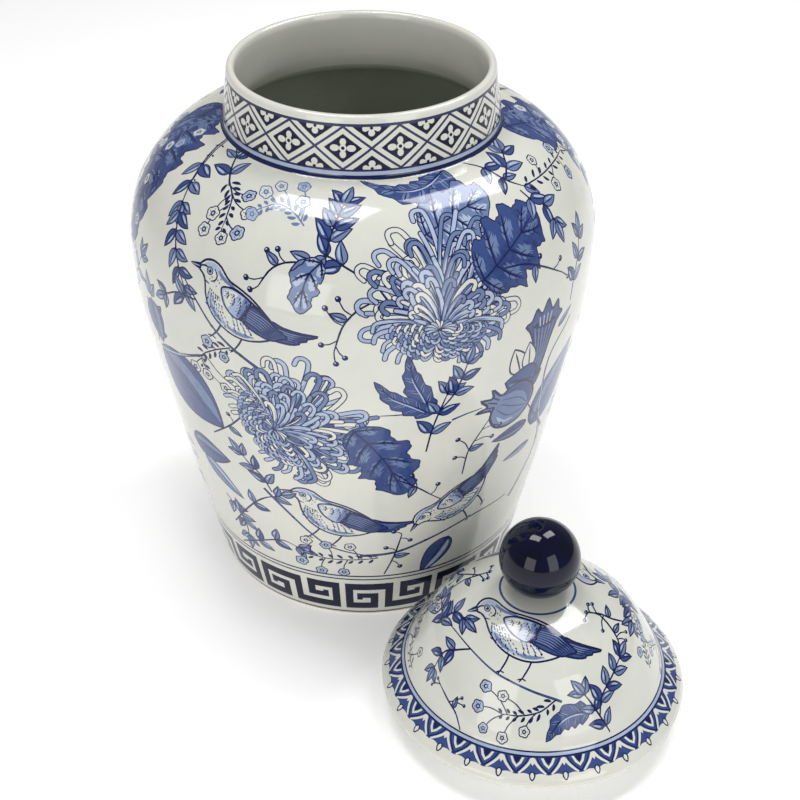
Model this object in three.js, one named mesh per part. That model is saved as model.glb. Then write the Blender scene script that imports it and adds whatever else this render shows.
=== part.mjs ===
// Lidded ginger jar in glazed porcelain: a hollow baluster jar with a short
// neck and a wide mouth, and its domed lid lying beside it on the same surface.
// Millimetres, +Z up, the resting surface at z = 0, the origin at the centre
// of the footprint of jar and lid together.
import * as THREE from 'three';

// ---- driving dimensions -------------------------------------------------
const SEGMENTS = 60;            // facets round every turned piece

const MAX_R = 126.0;            // jar at its widest
const JAR_H = 303.6;            // surface to the flat top of the rim
const NECK_BASE_Z = 273.0;      // where the shoulder meets the neck
const NECK_BASE_R = 73.4;
const RIM_OUT_R = 69.8;         // outside of the rolled rim
const RIM_IN_R = 65.0;          // clear radius of the mouth
const FOOT_R = 88.3;            // outside of the foot
const FOOT_RING_IN_R = 82.0;    // inside of the unglazed foot ring
const FOOT_RECESS = 4.0;        // base panel stands this far off the surface
const FLOOR_T = 7.0;            // thickness of the base panel
const WALL_T = 6.0;             // body wall

const LID_FLANGE_R = 80.75;     // outside of the sloping brim
const LID_EDGE_Z = 17.85;       // height of the brim's outer edge
const LID_SEAT_Z = 23.6;        // flat ring that rests on the jar's rim
const LID_SEAT_IN_R = 63.4;
const LID_SEAT_OUT_R = 70.6;
const REBATE_IN_R = 58.5;       // shallow rebate that takes the collar
const REBATE_Z = 24.2;
const LID_CROWN_Z = 78.2;       // top of the dome
const COLLAR_OUT_R = 62.9;      // locating ring that drops into the neck
const COLLAR_IN_R = 58.9;
const KNOB_R = 20.93;           // ball knob
const KNOB_Z = 97.6;            // height of the ball's centre
const KNOB_NECK_R = 10.5;       // short foot of the knob on the dome
const LUTE_GAP = 0.3;           // gap between two pieces joined by slip

const LID_X = 88.3;             // lid axis, measured from the jar axis
const LID_Y = -152.0;

// ---- footprint centre ---------------------------------------------------
const CENTRE_X = (-MAX_R + LID_X + LID_FLANGE_R) / 2;
const CENTRE_Y = (MAX_R + LID_Y - LID_FLANGE_R) / 2;

// ---- materials ----------------------------------------------------------
const glaze = new THREE.MeshStandardMaterial({ color: 0xe6e5df, roughness: 0.16, metalness: 0 });
const lidGlaze = new THREE.MeshStandardMaterial({ color: 0xe3e1d8, roughness: 0.18, metalness: 0 });
const collarGlaze = new THREE.MeshStandardMaterial({ color: 0xe9e7e0, roughness: 0.35, metalness: 0 });
const cobalt = new THREE.MeshStandardMaterial({ color: 0x0a0d2c, roughness: 0.08, metalness: 0 });

// ---- helper: a solid of revolution about +Z -----------------------------
// The outline is a list of [radius, height]. It runs from the axis round the
// outside and back to the axis, or closes on itself for a ring.
function turned(name, outline, material) {
  const points = outline.map(([r, z]) => new THREE.Vector2(r, z));
  const mesh = new THREE.Mesh(new THREE.LatheGeometry(points, SEGMENTS), material);
  mesh.name = name;
  mesh.rotation.x = Math.PI / 2;
  return mesh;
}

// ---- jar body: outside wall, rolled rim, inside wall, recessed base ------
const jarWall = [               // outside of the body, foot to shoulder
  [FOOT_R, 1.6], [89.9, 7], [92.4, 18.1], [97.6, 42.2], [104.8, 75.4],
  [112.2, 111.6], [119.6, 150.8], [124.1, 177], [125.7, 200], [MAX_R, 211],
  [125.2, 222], [121.4, 235.2], [117.0, 243.5], [110.2, 252.9], [101.5, 261.2],
  [91.0, 267.6], [81.5, 271.2],
];
const neckOutside = [
  [NECK_BASE_R, NECK_BASE_Z], [72.5, 280], [71.2, 289], [70.2, 297],
  [RIM_OUT_R, 300.4], [69.4, 302.4], [68.4, JAR_H],
];
const neckInside = [
  [66.4, JAR_H], [65.4, 302.2], [RIM_IN_R, 299.6], [RIM_IN_R, 280], [66.4, 273],
  [72.6, 267.2],
];
const cavity = [                // inside of the body, shoulder to base
  [85.5, 262.6], [97.2, 256], [105.4, 248.2], [112.2, 238.2], [116.8, 228],
  [119.6, 216], [MAX_R - WALL_T, 205], [118.2, 179], [113.6, 151.4],
  [106.3, 112.6], [98.9, 76.6], [91.6, 43.8], [86.4, 22],
  [82.0, FOOT_RECESS + FLOOR_T + 3], [76, FOOT_RECESS + FLOOR_T],
];
const jarBody = turned('jar_body', [
  [0, FOOT_RECESS],
  [FOOT_RING_IN_R - 1.2, FOOT_RECESS],
  [FOOT_RING_IN_R, 0],
  [FOOT_R - 1.2, 0],
  ...jarWall,
  ...neckOutside,
  ...neckInside,
  ...cavity,
  [0, FOOT_RECESS + FLOOR_T],
], glaze);

// ---- lid shell: hollow dome with a brim that slopes down to its edge -----
const lidShell = turned('lid_shell', [
  [0, LID_CROWN_Z - 5.2],
  [16.2, 72.0], [26.2, 69.2], [36.2, 65.0], [45.4, 57.4], [53.6, 45.0],
  [57.6, 34.0],
  [REBATE_IN_R, REBATE_Z],
  [LID_SEAT_IN_R, REBATE_Z],
  [LID_SEAT_IN_R, LID_SEAT_Z],
  [LID_SEAT_OUT_R, LID_SEAT_Z],
  [74.8, 19.6], [78.2, 15.6], [79.6, 15.0],
  [80.5, 16.0], [LID_FLANGE_R, LID_EDGE_Z], [79.9, 19.6],
  [76.2, 22.9], [72.0, 26.2], [68.9, 28.8], [67.6, 30.6],
  [65.8, 35.6], [58.8, 48.9], [54.2, 56.4], [48.3, 62.9], [37.8, 70.5],
  [27.3, 74.6], [16.8, 77.1],
  [0, LID_CROWN_Z],
], lidGlaze);

// ---- locating collar: a separate ring joined under the lid ---------------
const collarTop = REBATE_Z - LUTE_GAP;
const collar = turned('lid_collar', [
  [COLLAR_IN_R + 0.8, 0],
  [COLLAR_OUT_R - 0.9, 0],
  [COLLAR_OUT_R, 1.4],
  [COLLAR_OUT_R, collarTop],
  [COLLAR_IN_R - 0.2, collarTop],
  [COLLAR_IN_R, 1.2],
  [COLLAR_IN_R + 0.8, 0],
], collarGlaze);

// ---- knob: solid ball on a short foot, joined to the crown ---------------
const knobOutline = [[0, LID_CROWN_Z + LUTE_GAP], [KNOB_NECK_R, LID_CROWN_Z + LUTE_GAP]];
const startAngle = Math.acos((KNOB_NECK_R - 0.6) / KNOB_R);
for (let i = 0; i <= 13; i++) {
  const a = -startAngle + (startAngle + Math.PI / 2) * (i / 13);
  knobOutline.push([i === 13 ? 0 : KNOB_R * Math.cos(a), KNOB_Z + KNOB_R * Math.sin(a)]);
}
const knob = turned('lid_knob', knobOutline, cobalt);

// ---- assembly -----------------------------------------------------------
const jar = new THREE.Group();
jar.add(jarBody);

const lid = new THREE.Group();
lid.position.set(LID_X, LID_Y, 0);
lid.add(lidShell, collar, knob);

const gingerJar = new THREE.Group();
gingerJar.position.set(-CENTRE_X, -CENTRE_Y, 0);
gingerJar.add(jar, lid);

export default gingerJar;
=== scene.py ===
import math

import bpy
import numpy as np
from mathutils import Matrix, Vector
from mathutils.geometry import delaunay_2d_cdt


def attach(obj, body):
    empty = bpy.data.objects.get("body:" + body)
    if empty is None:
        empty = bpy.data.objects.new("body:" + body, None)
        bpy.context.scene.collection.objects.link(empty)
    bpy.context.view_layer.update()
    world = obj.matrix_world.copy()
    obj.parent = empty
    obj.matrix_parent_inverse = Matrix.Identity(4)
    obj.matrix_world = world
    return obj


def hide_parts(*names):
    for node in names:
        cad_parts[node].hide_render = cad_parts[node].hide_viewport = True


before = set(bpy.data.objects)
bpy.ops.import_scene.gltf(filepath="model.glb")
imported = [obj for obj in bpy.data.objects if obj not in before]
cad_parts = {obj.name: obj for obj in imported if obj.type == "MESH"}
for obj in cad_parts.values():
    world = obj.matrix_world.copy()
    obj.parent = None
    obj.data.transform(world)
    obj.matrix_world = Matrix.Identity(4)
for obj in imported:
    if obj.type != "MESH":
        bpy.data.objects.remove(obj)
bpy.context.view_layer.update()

# The two axes in the row frame, in millimetres
JAR_AXIS = (-21.525, 53.375)
LID_AXIS = (66.775, -98.625)

# ---------------------------------------------------------------------------
# Drawing kit: every painted mark is a polygon in millimetres with a colour
# class. Later marks cover earlier ones, as brush strokes do.
# ---------------------------------------------------------------------------
WHITE, PALE, MID, BLUE, LINE, NAVY = 0, 1, 2, 3, 4, 5


# the painter's line is about a millimetre wide
INKW = 1.7


def v2(p):
    return np.asarray(p, float).reshape(-1, 2)


def resample(p, step, closed=False, least=3):
    p = v2(p)
    if closed:
        p = np.vstack([p, p[:1]])
    d = np.hypot(*np.diff(p, axis=0).T)
    keep = np.concatenate([[True], d > 1e-9])
    p = p[keep]
    t = np.concatenate([[0], np.cumsum(np.hypot(*np.diff(p, axis=0).T))])
    n = max(least, int(round(t[-1] / step)) + 1)
    u = np.linspace(0, t[-1], n)
    q = np.stack([np.interp(u, t, p[:, 0]), np.interp(u, t, p[:, 1])], 1)
    return q[:-1] if closed else q


def curve(pts, step=1.3, closed=False, least=4):
    """A smooth line through the points, sampled about every step millimetres."""
    p = v2(pts)
    n = len(p)
    if n < 3 and not closed:
        return resample(p, step, least=least)
    if closed:
        a = np.vstack([p[-1:], p, p[:2]])
    else:
        a = np.vstack([2 * p[0] - p[1], p, 2 * p[-1] - p[-2]])
    t = np.linspace(0, 1, 10, endpoint=False)[:, None]
    out = []
    for i in range(len(a) - 3):
        p0, p1, p2, p3 = a[i : i + 4]
        out.append(
            0.5
            * (
                2 * p1
                + (p2 - p0) * t
                + (2 * p0 - 5 * p1 + 4 * p2 - p3) * t**2
                + (3 * p1 - p0 - 3 * p2 + p3) * t**3
            )
        )
    q = np.vstack(out)
    if not closed:
        q = np.vstack([q, p[-1:]])
    return resample(q, step, closed, least)


def side(p):
    d = np.gradient(p, axis=0)
    d /= np.maximum(np.hypot(d[:, 0], d[:, 1]), 1e-9)[:, None]
    return np.stack([-d[:, 1], d[:, 0]], 1)


def stroke(pts, w, ends=(0.35, 0.15), swell=0.0, step=1.3, smooth=True):
    """A brush line: w wide, thinner at the ends, fuller in the middle by swell."""
    p = curve(pts, step) if smooth else v2(pts)
    if w < 0.7:
        w = w * INKW
    n = len(p)
    t = np.linspace(0, 1, n)
    k = np.minimum(1, ends[0] + (1 - ends[0]) * t / 0.18) * np.minimum(
        1, ends[1] + (1 - ends[1]) * (1 - t) / 0.25
    )
    half = 0.5 * w * k * (1 + swell * np.sin(np.pi * t))
    m = side(p) * half[:, None]
    return np.vstack([p + m, (p - m)[::-1]])


def disc(c, r, n=10, squash=1.0, turn=0.0):
    a = np.linspace(0, 2 * np.pi, n, endpoint=False)
    q = np.stack([r * np.cos(a), r * squash * np.sin(a)], 1)
    cs, sn = math.cos(turn), math.sin(turn)
    return q @ np.array([[cs, sn], [-sn, cs]]) + np.asarray(c, float)


def area2(p):
    x, y = p[:, 0], p[:, 1]
    return float(np.dot(x, np.roll(y, -1)) - np.dot(y, np.roll(x, -1)))


def grow(p, d):
    """The outline moved outwards by d, or inwards where d is negative."""
    p = v2(p)
    a, b = np.roll(p, 1, 0), np.roll(p, -1, 0)
    e1, e2 = p - a, b - p
    e1 /= np.maximum(np.hypot(*e1.T), 1e-9)[:, None]
    e2 /= np.maximum(np.hypot(*e2.T), 1e-9)[:, None]
    n1, n2 = np.stack([e1[:, 1], -e1[:, 0]], 1), np.stack([e2[:, 1], -e2[:, 0]], 1)
    m = n1 + n2
    m /= np.maximum(np.hypot(*m.T), 1e-9)[:, None]
    c = np.maximum((m * n1).sum(1), 0.5)
    s = 1.0 if area2(p) > 0 else -1.0
    return p + m * (s * d / c)[:, None]


class Art:
    """A list of (polygon, colour) in painting order."""

    def __init__(self):
        self.items = []

    def add(self, poly, c):
        p = v2(poly)
        if len(p) >= 3:
            self.items.append((p, c))
        return self

    def line(self, pts, w=0.5, c=LINE, **k):
        return self.add(stroke(pts, w, **k), c)

    def shape(self, pts, fill, edge=LINE, w=0.45, step=1.3, smooth=True):
        """A filled outline: the edge colour first, then the fill a line's width inside it."""
        p = curve(pts, step, closed=True) if smooth else v2(pts)
        if edge is not None:
            self.add(grow(p, 0.5 * w * INKW), edge)
            self.add(grow(p, -0.5 * w * INKW), fill)
        else:
            self.add(p, fill)
        return self

    def put(self, other, at=(0, 0), turn=0.0, size=1.0, flip=False):
        cs, sn = math.cos(math.radians(turn)), math.sin(math.radians(turn))
        m = np.array([[cs, sn], [-sn, cs]])
        for p, c in other.items:
            q = p * size
            if flip:
                q = q * (-1, 1)
            self.items.append((q @ m + np.asarray(at, float), c))
        return self


def heading(p, q):
    return math.degrees(math.atan2(q[1] - p[1], q[0] - p[0]))


# ---- leaves ---------------------------------------------------------------
def leaf(length, width, fill=MID, bend=0.0, vein=LINE, light=PALE, w=0.42, fat=0.42, hatch=0):
    """A pointed leaf from the origin along +x."""
    a = Art()
    n = max(7, int(length / 1.15))
    t = np.linspace(0, 1, n)
    mid = np.stack([t * length, bend * length * np.sin(np.pi * t * 0.9)], 1)
    half = 0.5 * width * np.power(np.sin(np.pi * np.power(t, fat + 0.28)), 0.85)
    half[0] = half[-1] = 0.02
    m = side(mid) * half[:, None]
    out = np.vstack([mid + m, (mid - m)[::-1][1:-1]])
    a.add(grow(out, 0.5 * w * INKW), LINE)
    # the point of the leaf runs out in a fine tail of the line
    a.add(grow(out, -0.45 * w * INKW), fill)
    if light is not None and width > 2.4:
        q = mid[2:-2] + side(mid)[2:-2] * (half[2:-2] * 0.45)[:, None]
        if len(q) >= 3:
            a.add(stroke(q, max(0.8, width * 0.2), smooth=False), light)
        q = mid[2:-2] - side(mid)[2:-2] * (half[2:-2] * 0.5)[:, None]
        if len(q) >= 3 and hatch:
            a.add(stroke(q, width * 0.12, smooth=False), light)
    if vein is not None:
        a.add(stroke(mid[: int(n * 0.86) + 1], 0.42, smooth=False), vein)
    return a


def leaf_spray(path, leaves, stem=0.62, size=9.0, fill=MID, seed=1, tip=True, wide=0.5):
    """A stem with leaves. leaves lists (place along the stem 0..1, side +1 or -1, angle, length factor)."""
    rng = np.random.RandomState(seed)
    a = Art()
    p = curve(path, 1.5)
    a.add(stroke(p, stem, ends=(0.9, 0.5), smooth=False), LINE)
    t = np.linspace(0, 1, len(p))
    d = np.gradient(p, axis=0)
    for at, sd, ang, k in leaves:
        c = np.array([np.interp(at, t, p[:, 0]), np.interp(at, t, p[:, 1])])
        g = np.array([np.interp(at, t, d[:, 0]), np.interp(at, t, d[:, 1])])
        h = math.degrees(math.atan2(g[1], g[0])) + sd * ang + rng.uniform(-6, 6)
        L = 1.12 * size * k * rng.uniform(0.92, 1.08)
        f = fill if rng.rand() > 0.12 else BLUE
        stalk = np.array([math.cos(math.radians(h)), math.sin(math.radians(h))])
        a.add(stroke([c, c + stalk * 1.3], 0.45, ends=(1, 1), step=0.8), LINE)
        a.put(leaf(L, L * wide, f, bend=sd * rng.uniform(-0.1, 0.02)), c + stalk * 0.9, h)
    if tip:
        h = math.degrees(math.atan2(d[-1][1], d[-1][0]))
        a.put(leaf(size * 1.05, size * wide, fill), p[-1], h)
    return a


def frond(path, n, size=5.0, stem=0.5, seed=2, both=True, w=0.75, start=0.15, ang=52):
    """A stem with short brush-touch leaflets."""
    rng = np.random.RandomState(seed)
    a = Art()
    p = curve(path, 1.5)
    a.add(stroke(p, stem, ends=(1, 0.4), smooth=False), LINE)
    t = np.linspace(0, 1, len(p))
    d = np.gradient(p, axis=0)
    for i in range(n):
        at = start + (0.98 - start) * i / max(1, n - 1)
        c = np.array([np.interp(at, t, p[:, 0]), np.interp(at, t, p[:, 1])])
        g = np.array([np.interp(at, t, d[:, 0]), np.interp(at, t, d[:, 1])])
        h0 = math.degrees(math.atan2(g[1], g[0]))
        for sd in (1, -1) if both else (1 if i % 2 else -1,):
            L = size * rng.uniform(0.75, 1.05) * (1 - 0.35 * at)
            h = math.radians(h0 + sd * (ang + rng.uniform(-8, 8)))
            e = c + L * np.array([math.cos(h), math.sin(h)])
            m = c + 0.22 * (e - c)
            a.add(stroke([m, 0.5 * (m + e) + 0.06 * L * np.array([-math.sin(h), math.cos(h)]) * sd, e], w, ends=(0.3, 0.3), swell=0.5, step=1.0), LINE)
    return a


def berry(c, r=1.35):
    a = Art()
    a.add(disc(c, r, 9), LINE)
    a.add(disc((c[0] - 0.3 * r, c[1] + 0.3 * r), 0.32 * r, 6), PALE)
    return a


def berry_sprig(path, ends, leafat=0.45, r=1.8, leafturn=-70, leaf_len=9.0, w=0.6):
    """A thin stem; ends lists (place on the stem, end point) for the berry stalks."""
    a = Art()
    p = curve(path, 1.4)
    a.add(stroke(p, w, ends=(0.8, 0.6), smooth=False), LINE)
    t = np.linspace(0, 1, len(p))
    d = np.gradient(p, axis=0)
    for at, e in ends:
        c = np.array([np.interp(at, t, p[:, 0]), np.interp(at, t, p[:, 1])])
        g = np.array([np.interp(at, t, d[:, 0]), np.interp(at, t, d[:, 1])])
        g /= max(np.hypot(*g), 1e-9)
        e = np.asarray(e, float)
        a.add(stroke([c, c + 0.45 * (e - c) + g * 0.12 * np.hypot(*(e - c)), e], 0.42, ends=(0.9, 0.8)), LINE)
        a.items += berry(e, r * 0.9).items
    if leafat is not None:
        c = np.array([np.interp(leafat, t, p[:, 0]), np.interp(leafat, t, p[:, 1])])
        g = np.array([np.interp(leafat, t, d[:, 0]), np.interp(leafat, t, d[:, 1])])
        a.put(leaf(leaf_len, leaf_len * 0.48, MID), c, math.degrees(math.atan2(g[1], g[0])) + leafturn)
    return a


def blossom(r=3.0, petals=5, fill=WHITE, edge=LINE, w=0.4, turn=0.0, heart=True):
    """A small round flower with scalloped petals."""
    a = Art()
    n = petals * 5
    t = np.linspace(0, 2 * np.pi, n, endpoint=False)
    rr = r * (0.86 + 0.17 * np.abs(np.sin(petals * t / 2)))
    out = np.stack([rr * np.cos(t + turn), rr * np.sin(t + turn)], 1)
    a.add(grow(out, 0.5 * w * INKW), edge)
    a.add(grow(out, -0.5 * w * INKW), fill)
    if heart:
        a.add(disc((0, 0), r * 0.42, 9), edge)
        a.add(disc((0, 0), r * 0.2, 7), PALE)
        for i in range(petals):
            h = turn + (i + 0.5) * 2 * np.pi / petals
            c = np.array([math.cos(h), math.sin(h)])
            a.add(stroke([c * r * 0.47, c * r * 0.72], 0.26, ends=(1, 0.5), step=0.8), edge)
    return a


def blossom_spray(path, heads, seed=3, faint=False, r=3.5, leaflets=8):
    """A stem with short leaflets and round blossoms at the ends. heads lists (place, point)."""
    rng = np.random.RandomState(seed)
    edge = MID if faint else LINE
    a = frond(path, leaflets, size=7.0 * r / 3.5, w=1.25 * r / 3.5, stem=0.5, seed=seed, both=True, start=0.05, ang=46)
    p = curve(path, 1.4)
    t = np.linspace(0, 1, len(p))
    for at, e in heads:
        c = np.array([np.interp(at, t, p[:, 0]), np.interp(at, t, p[:, 1])])
        e = np.asarray(e, float)
        a.add(stroke([c, 0.5 * (c + e) + (0.08 * (e - c)[1], -0.08 * (e - c)[0]), e], 0.42, ends=(1, 1)), LINE)
    for at, e in heads:
        a.put(blossom(r * rng.uniform(0.9, 1.1), fill=WHITE if rng.rand() > 0.4 else PALE, edge=edge, turn=rng.uniform(0, 1)), e)
    if faint:
        a.items = [(p_, MID if c_ == LINE else c_) for p_, c_ in a.items]
    return a


# ---- big leaves -----------------------------------------------------------
def jagged(path, half, teeth, depth, side_sign=1):
    """One side of a leaf: half widths along a path with teeth that lean to the tip."""
    p = v2(path)
    n = len(p)
    t = np.linspace(0, 1, n)
    saw = (t * teeth) % 1.0
    lean = np.where(saw < 0.72, saw / 0.72, (1 - saw) / 0.28)
    h = half * (1 - depth + depth * lean)
    return p + side(p) * (side_sign * h)[:, None]


def serrated_leaf(spine, width, teeth=6, fill=BLUE, shade=MID, depth=0.3, w=0.5, one_side=0.6, seed=5, vein=LINE, light=PALE, smooth_side=0):
    """A long curved leaf with toothed edges, darker towards the spine."""
    a = Art()
    p = curve(spine, 0.9)
    n = len(p)
    t = np.linspace(0, 1, n)
    half = 0.5 * width * np.power(np.sin(np.pi * np.power(t, 0.62)), 0.8) + 0.05
    L = jagged(p, half, teeth, depth if smooth_side != 1 else 0.0, 1)
    R = jagged(p, half * one_side, max(3, teeth - 1), depth if smooth_side != -1 else 0.0, -1)
    out = np.vstack([L, R[::-1]])
    a.add(grow(out, 0.5 * w), LINE)
    a.add(grow(out, -0.5 * w), fill)
    # lighter bands between the side veins
    k = teeth
    for i in range(k):
        t0 = (i + 0.25) / (k + 0.5)
        t1 = min(0.97, t0 + 0.62 / (k + 0.5))
        j0, j1 = int(t0 * n), min(n - 2, int(t1 * n))
        if j1 - j0 < 2:
            continue
        for sgn, f in ((1, 1.0), (-1, one_side)):
            q0 = p[j0] + side(p)[j0] * sgn * half[j0] * f * 0.12
            q1 = p[j1] + side(p)[j1] * sgn * half[j1] * f * 0.74
            m_ = 0.5 * (q0 + q1) + 0.12 * (p[j1] - p[j0])
            a.add(stroke([q0, m_, q1], width * 0.06, ends=(0.3, 0.3), swell=0.8), shade)
            q1b = p[j1] + side(p)[j1] * sgn * half[j1] * f * 0.86
            a.add(stroke([p[j0], 0.5 * (p[j0] + q1b) + 0.1 * (p[j1] - p[j0]), q1b], 0.34, ends=(1, 0.3)), vein)
    a.add(stroke(p[: int(n * 0.93)], 0.75, ends=(1, 0.2), smooth=False), vein)
    if light is not None:
        q = p[int(n * 0.12) : int(n * 0.7)] + side(p)[int(n * 0.12) : int(n * 0.7)] * 0.75
        if len(q) > 3:
            a.add(stroke(q, 0.4, ends=(0.3, 0.2), smooth=False), light)
    return a


def lobed_leaf(spine, width, lobes=4, fill=BLUE, shade=MID, w=0.6, seed=7, vein=LINE):
    """A broad leaf with rounded, finely scalloped lobes and arching veins."""
    a = Art()
    p = curve(spine, 0.8)
    n = len(p)
    t = np.linspace(0, 1, n)
    nrm = side(p)
    base = 0.5 * width * np.power(np.sin(np.pi * np.power(t, 0.75)), 0.6) + 0.05
    edge_t = np.clip(1.3 * np.sin(np.pi * t), 0, 1)
    sides = []
    for k, ph in ((1, 0.0), (-1, 0.35)):
        lobe = 1 - 0.30 * edge_t * np.power(np.abs(np.cos(np.pi * (lobes * t + ph))), 1.6)
        fine = 1 + 0.05 * edge_t * np.sin(2 * np.pi * lobes * 3.0 * t + k)
        lean = 0.10 * width * edge_t * lobe
        fwd = np.gradient(p, axis=0)
        fwd /= np.maximum(np.hypot(*fwd.T), 1e-9)[:, None]
        sides.append(p + nrm * (k * base * lobe * fine)[:, None] + fwd * lean[:, None])
    out = np.vstack([sides[0], sides[1][::-1]])
    a.add(grow(out, 0.5 * w), LINE)
    a.add(grow(out, -0.5 * w), fill)
    for i in range(lobes):
        t0 = max(0.04, (i + 0.1) / (lobes + 0.4) - 0.02)
        t1 = min(0.96, (i + 0.62) / lobes)
        j0, j1 = int(t0 * (n - 1)), int(t1 * (n - 1))
        for sgn in (1, -1):
            e = p[j1] + nrm[j1] * sgn * base[j1] * 0.80
            u = e - p[j0]
            m_ = p[j0] + 0.5 * u + 0.10 * (p[j0] - p[j1])
            for off, f0, f1 in ((0.34, 0.14, 0.86), (0.56, 0.2, 0.8), (0.8, 0.12, 0.7), (-0.3, 0.3, 0.8), (1.02, 0.3, 0.62)):
                dd = (p[j1] - p[j0]) * off * 0.55
                a.add(stroke([p[j0] + dd + f0 * u, m_ + dd + (0.5 * (f0 + f1) - 0.5) * u, p[j0] + dd + f1 * u], max(0.62, width * 0.021), ends=(0.25, 0.1), swell=0.4), shade)
            a.add(stroke([p[j0], m_, e], 0.55, ends=(1, 0.25)), vein)
            for f in (0.42, 0.66):
                b0 = p[j0] + f * u + (m_ - 0.5 * (p[j0] + e)) * 4 * f * (1 - f)
                for s2 in (1, -1):
                    h = math.atan2(u[1], u[0]) + s2 * 0.7
                    b1 = b0 + width * 0.10 * np.array([math.cos(h), math.sin(h)])
                    a.add(stroke([b0, b1], 0.3, ends=(1, 0.3), step=1.0), vein)
    a.add(stroke(p[: int(n * 0.96)], 0.85, ends=(1, 0.25), smooth=False), vein)
    return a


def pairs(n, a=0.22, b=0.9, ang=46, k0=1.0, k1=0.8):
    """Opposite leaves along a stem, smaller towards its tip."""
    out = []
    for i in range(n):
        f = i / max(1, n - 1)
        for sd in (1, -1):
            out.append((a + (b - a) * f + (0.02 if sd > 0 else 0), sd, ang, k0 + (k1 - k0) * f))
    return out


def bud(size=1.0, fill=MID):
    """A round fruit with a spiky crown, standing on the origin and pointing to +y."""
    a = Art()
    body = [(0, 0), (-5.2, 1.6), (-9.0, 6.6), (-9.6, 12.6), (-6.6, 17.6), (-3.2, 19.8), (-4.8, 25.8), (-1.6, 22.8), (0.2, 27.4), (1.9, 22.8), (5.2, 25.4), (3.4, 19.6), (6.8, 17.2), (9.6, 12.2), (8.8, 6.2), (5.0, 1.4)]
    a.shape(curve(body, 1.1, closed=True), fill, w=0.6, smooth=False)
    a.add(curve([(0.6, 1.0), (5.2, 2.6), (8.4, 7.0), (8.9, 12.2), (6.2, 16.6), (3.0, 18.6), (5.4, 13.6), (5.4, 8.4), (3.4, 4.2)], 1.0, closed=True), BLUE)
    a.add(stroke([(-5.4, 5.4), (-7.2, 10.0), (-5.6, 14.8)], 1.0, ends=(0.3, 0.3), swell=0.4), PALE)
    for x in (-4.0, -0.6, 2.6):
        a.line([(x * 0.25, 1.4), (x * 1.12, 9.0), (x * 0.62, 17.6)], 0.34, BLUE, ends=(0.5, 0.3))
    for x in (-2.6, 0.0, 2.4):
        a.line([(x * 0.6, 19.0), (x, 24.0)], 0.4, ends=(1, 0.3))
    return Art().put(a, size=size)


def trumpet(size=1.0, fill=BLUE):
    """A bell-shaped flower in profile: narrow at the origin, its frilled mouth towards +y."""
    a = Art()
    body = [(0, 0), (-2.6, 3.6), (-4.0, 11), (-5.6, 19), (-9.8, 26.6), (-13.2, 30.0), (-9.8, 31.2), (-7.2, 35.6), (-3.4, 32.8), (0.4, 37.6), (4.2, 32.6), (8.2, 35.0), (10.2, 30.4), (13.4, 28.6), (9.4, 25.4), (5.6, 18), (4.0, 10.6), (2.6, 3.6)]
    a.shape(curve(body, 1.2, closed=True), fill, w=0.6, smooth=False)
    for i in range(7):
        f = -1 + 2 * i / 6.0
        a.line([(f * 1.6, 2.4), (f * 3.6, 13.0), (f * 8.6, 29.2)], 0.42, ends=(0.6, 0.2))
        if i < 6:
            g = f + 0.17
            a.add(stroke([(g * 2.4, 7.0), (g * 4.2, 15.0), (g * 9.4, 30.2)], 0.8, ends=(0.3, 0.3), swell=0.4), MID)
    a.add(curve([(-8.6, 28.6), (-3.6, 26.6), (3.4, 26.2), (8.4, 27.6), (3.6, 29.4), (-3.4, 29.9)], 1.2, closed=True), LINE)
    for x in (-3.4, -1.2, 1.0, 3.2):
        a.line([(x, 27.4), (x * 1.3, 31.6)], 0.5, PALE, ends=(1, 0.8))
    # the cup at its base
    a.shape(curve([(0, -2), (-3.6, 0.6), (-4.4, 6.4), (-1.6, 4.0), (0, 8.0), (1.8, 4.0), (4.4, 6.0), (3.4, 0.4)], 1.0, closed=True), BLUE, w=0.5, smooth=False)
    a.items = [(p_ * (0.82, 1.0), c_) for p_, c_ in a.items]
    return Art().put(a, size=size)


# ---- chrysanthemum --------------------------------------------------------
def petal(path, w0, fill=WHITE, shade=PALE, deep=MID, edge=LINE, ew=0.62, step=1.5):
    """A long narrow petal from its base to a rounded tip."""
    a = Art()
    p = curve(path, step, least=6)
    n = len(p)
    t = np.linspace(0, 1, n)
    half = 0.5 * w0 * (0.38 + 0.62 * np.sin(0.5 * np.pi * np.minimum(1, 0.15 + 1.1 * t)))
    nrm = side(p)
    m = nrm * half[:, None]
    d = p[-1] - p[-2]
    d /= max(np.hypot(*d), 1e-9)
    h = np.linspace(np.pi / 2, -np.pi / 2, 6)[1:-1]
    cap = p[-1] + half[-1] * (np.outer(np.sin(h), nrm[-1]) + np.outer(np.cos(h), d))
    out = np.vstack([p + m, cap, (p - m)[::-1]])
    a.add(grow(out, 0.5 * ew), edge)
    a.add(grow(out, -0.5 * ew), fill)
    k = int(n * 0.66)
    if k >= 4 and shade is not None:
        q = p[:k] - side(p)[:k] * (half[:k] * 0.3)[:, None]
        a.add(stroke(q, w0 * 0.42, ends=(0.9, 0.1), smooth=False), shade if fill != PALE else deep)
    k = int(n * 0.45)
    if k >= 4 and deep is not None:
        q = p[:k] - side(p)[:k] * (half[:k] * 0.45)[:, None]
        a.add(stroke(q, w0 * 0.2, ends=(0.9, 0.1), smooth=False), deep)
    return a


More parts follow.
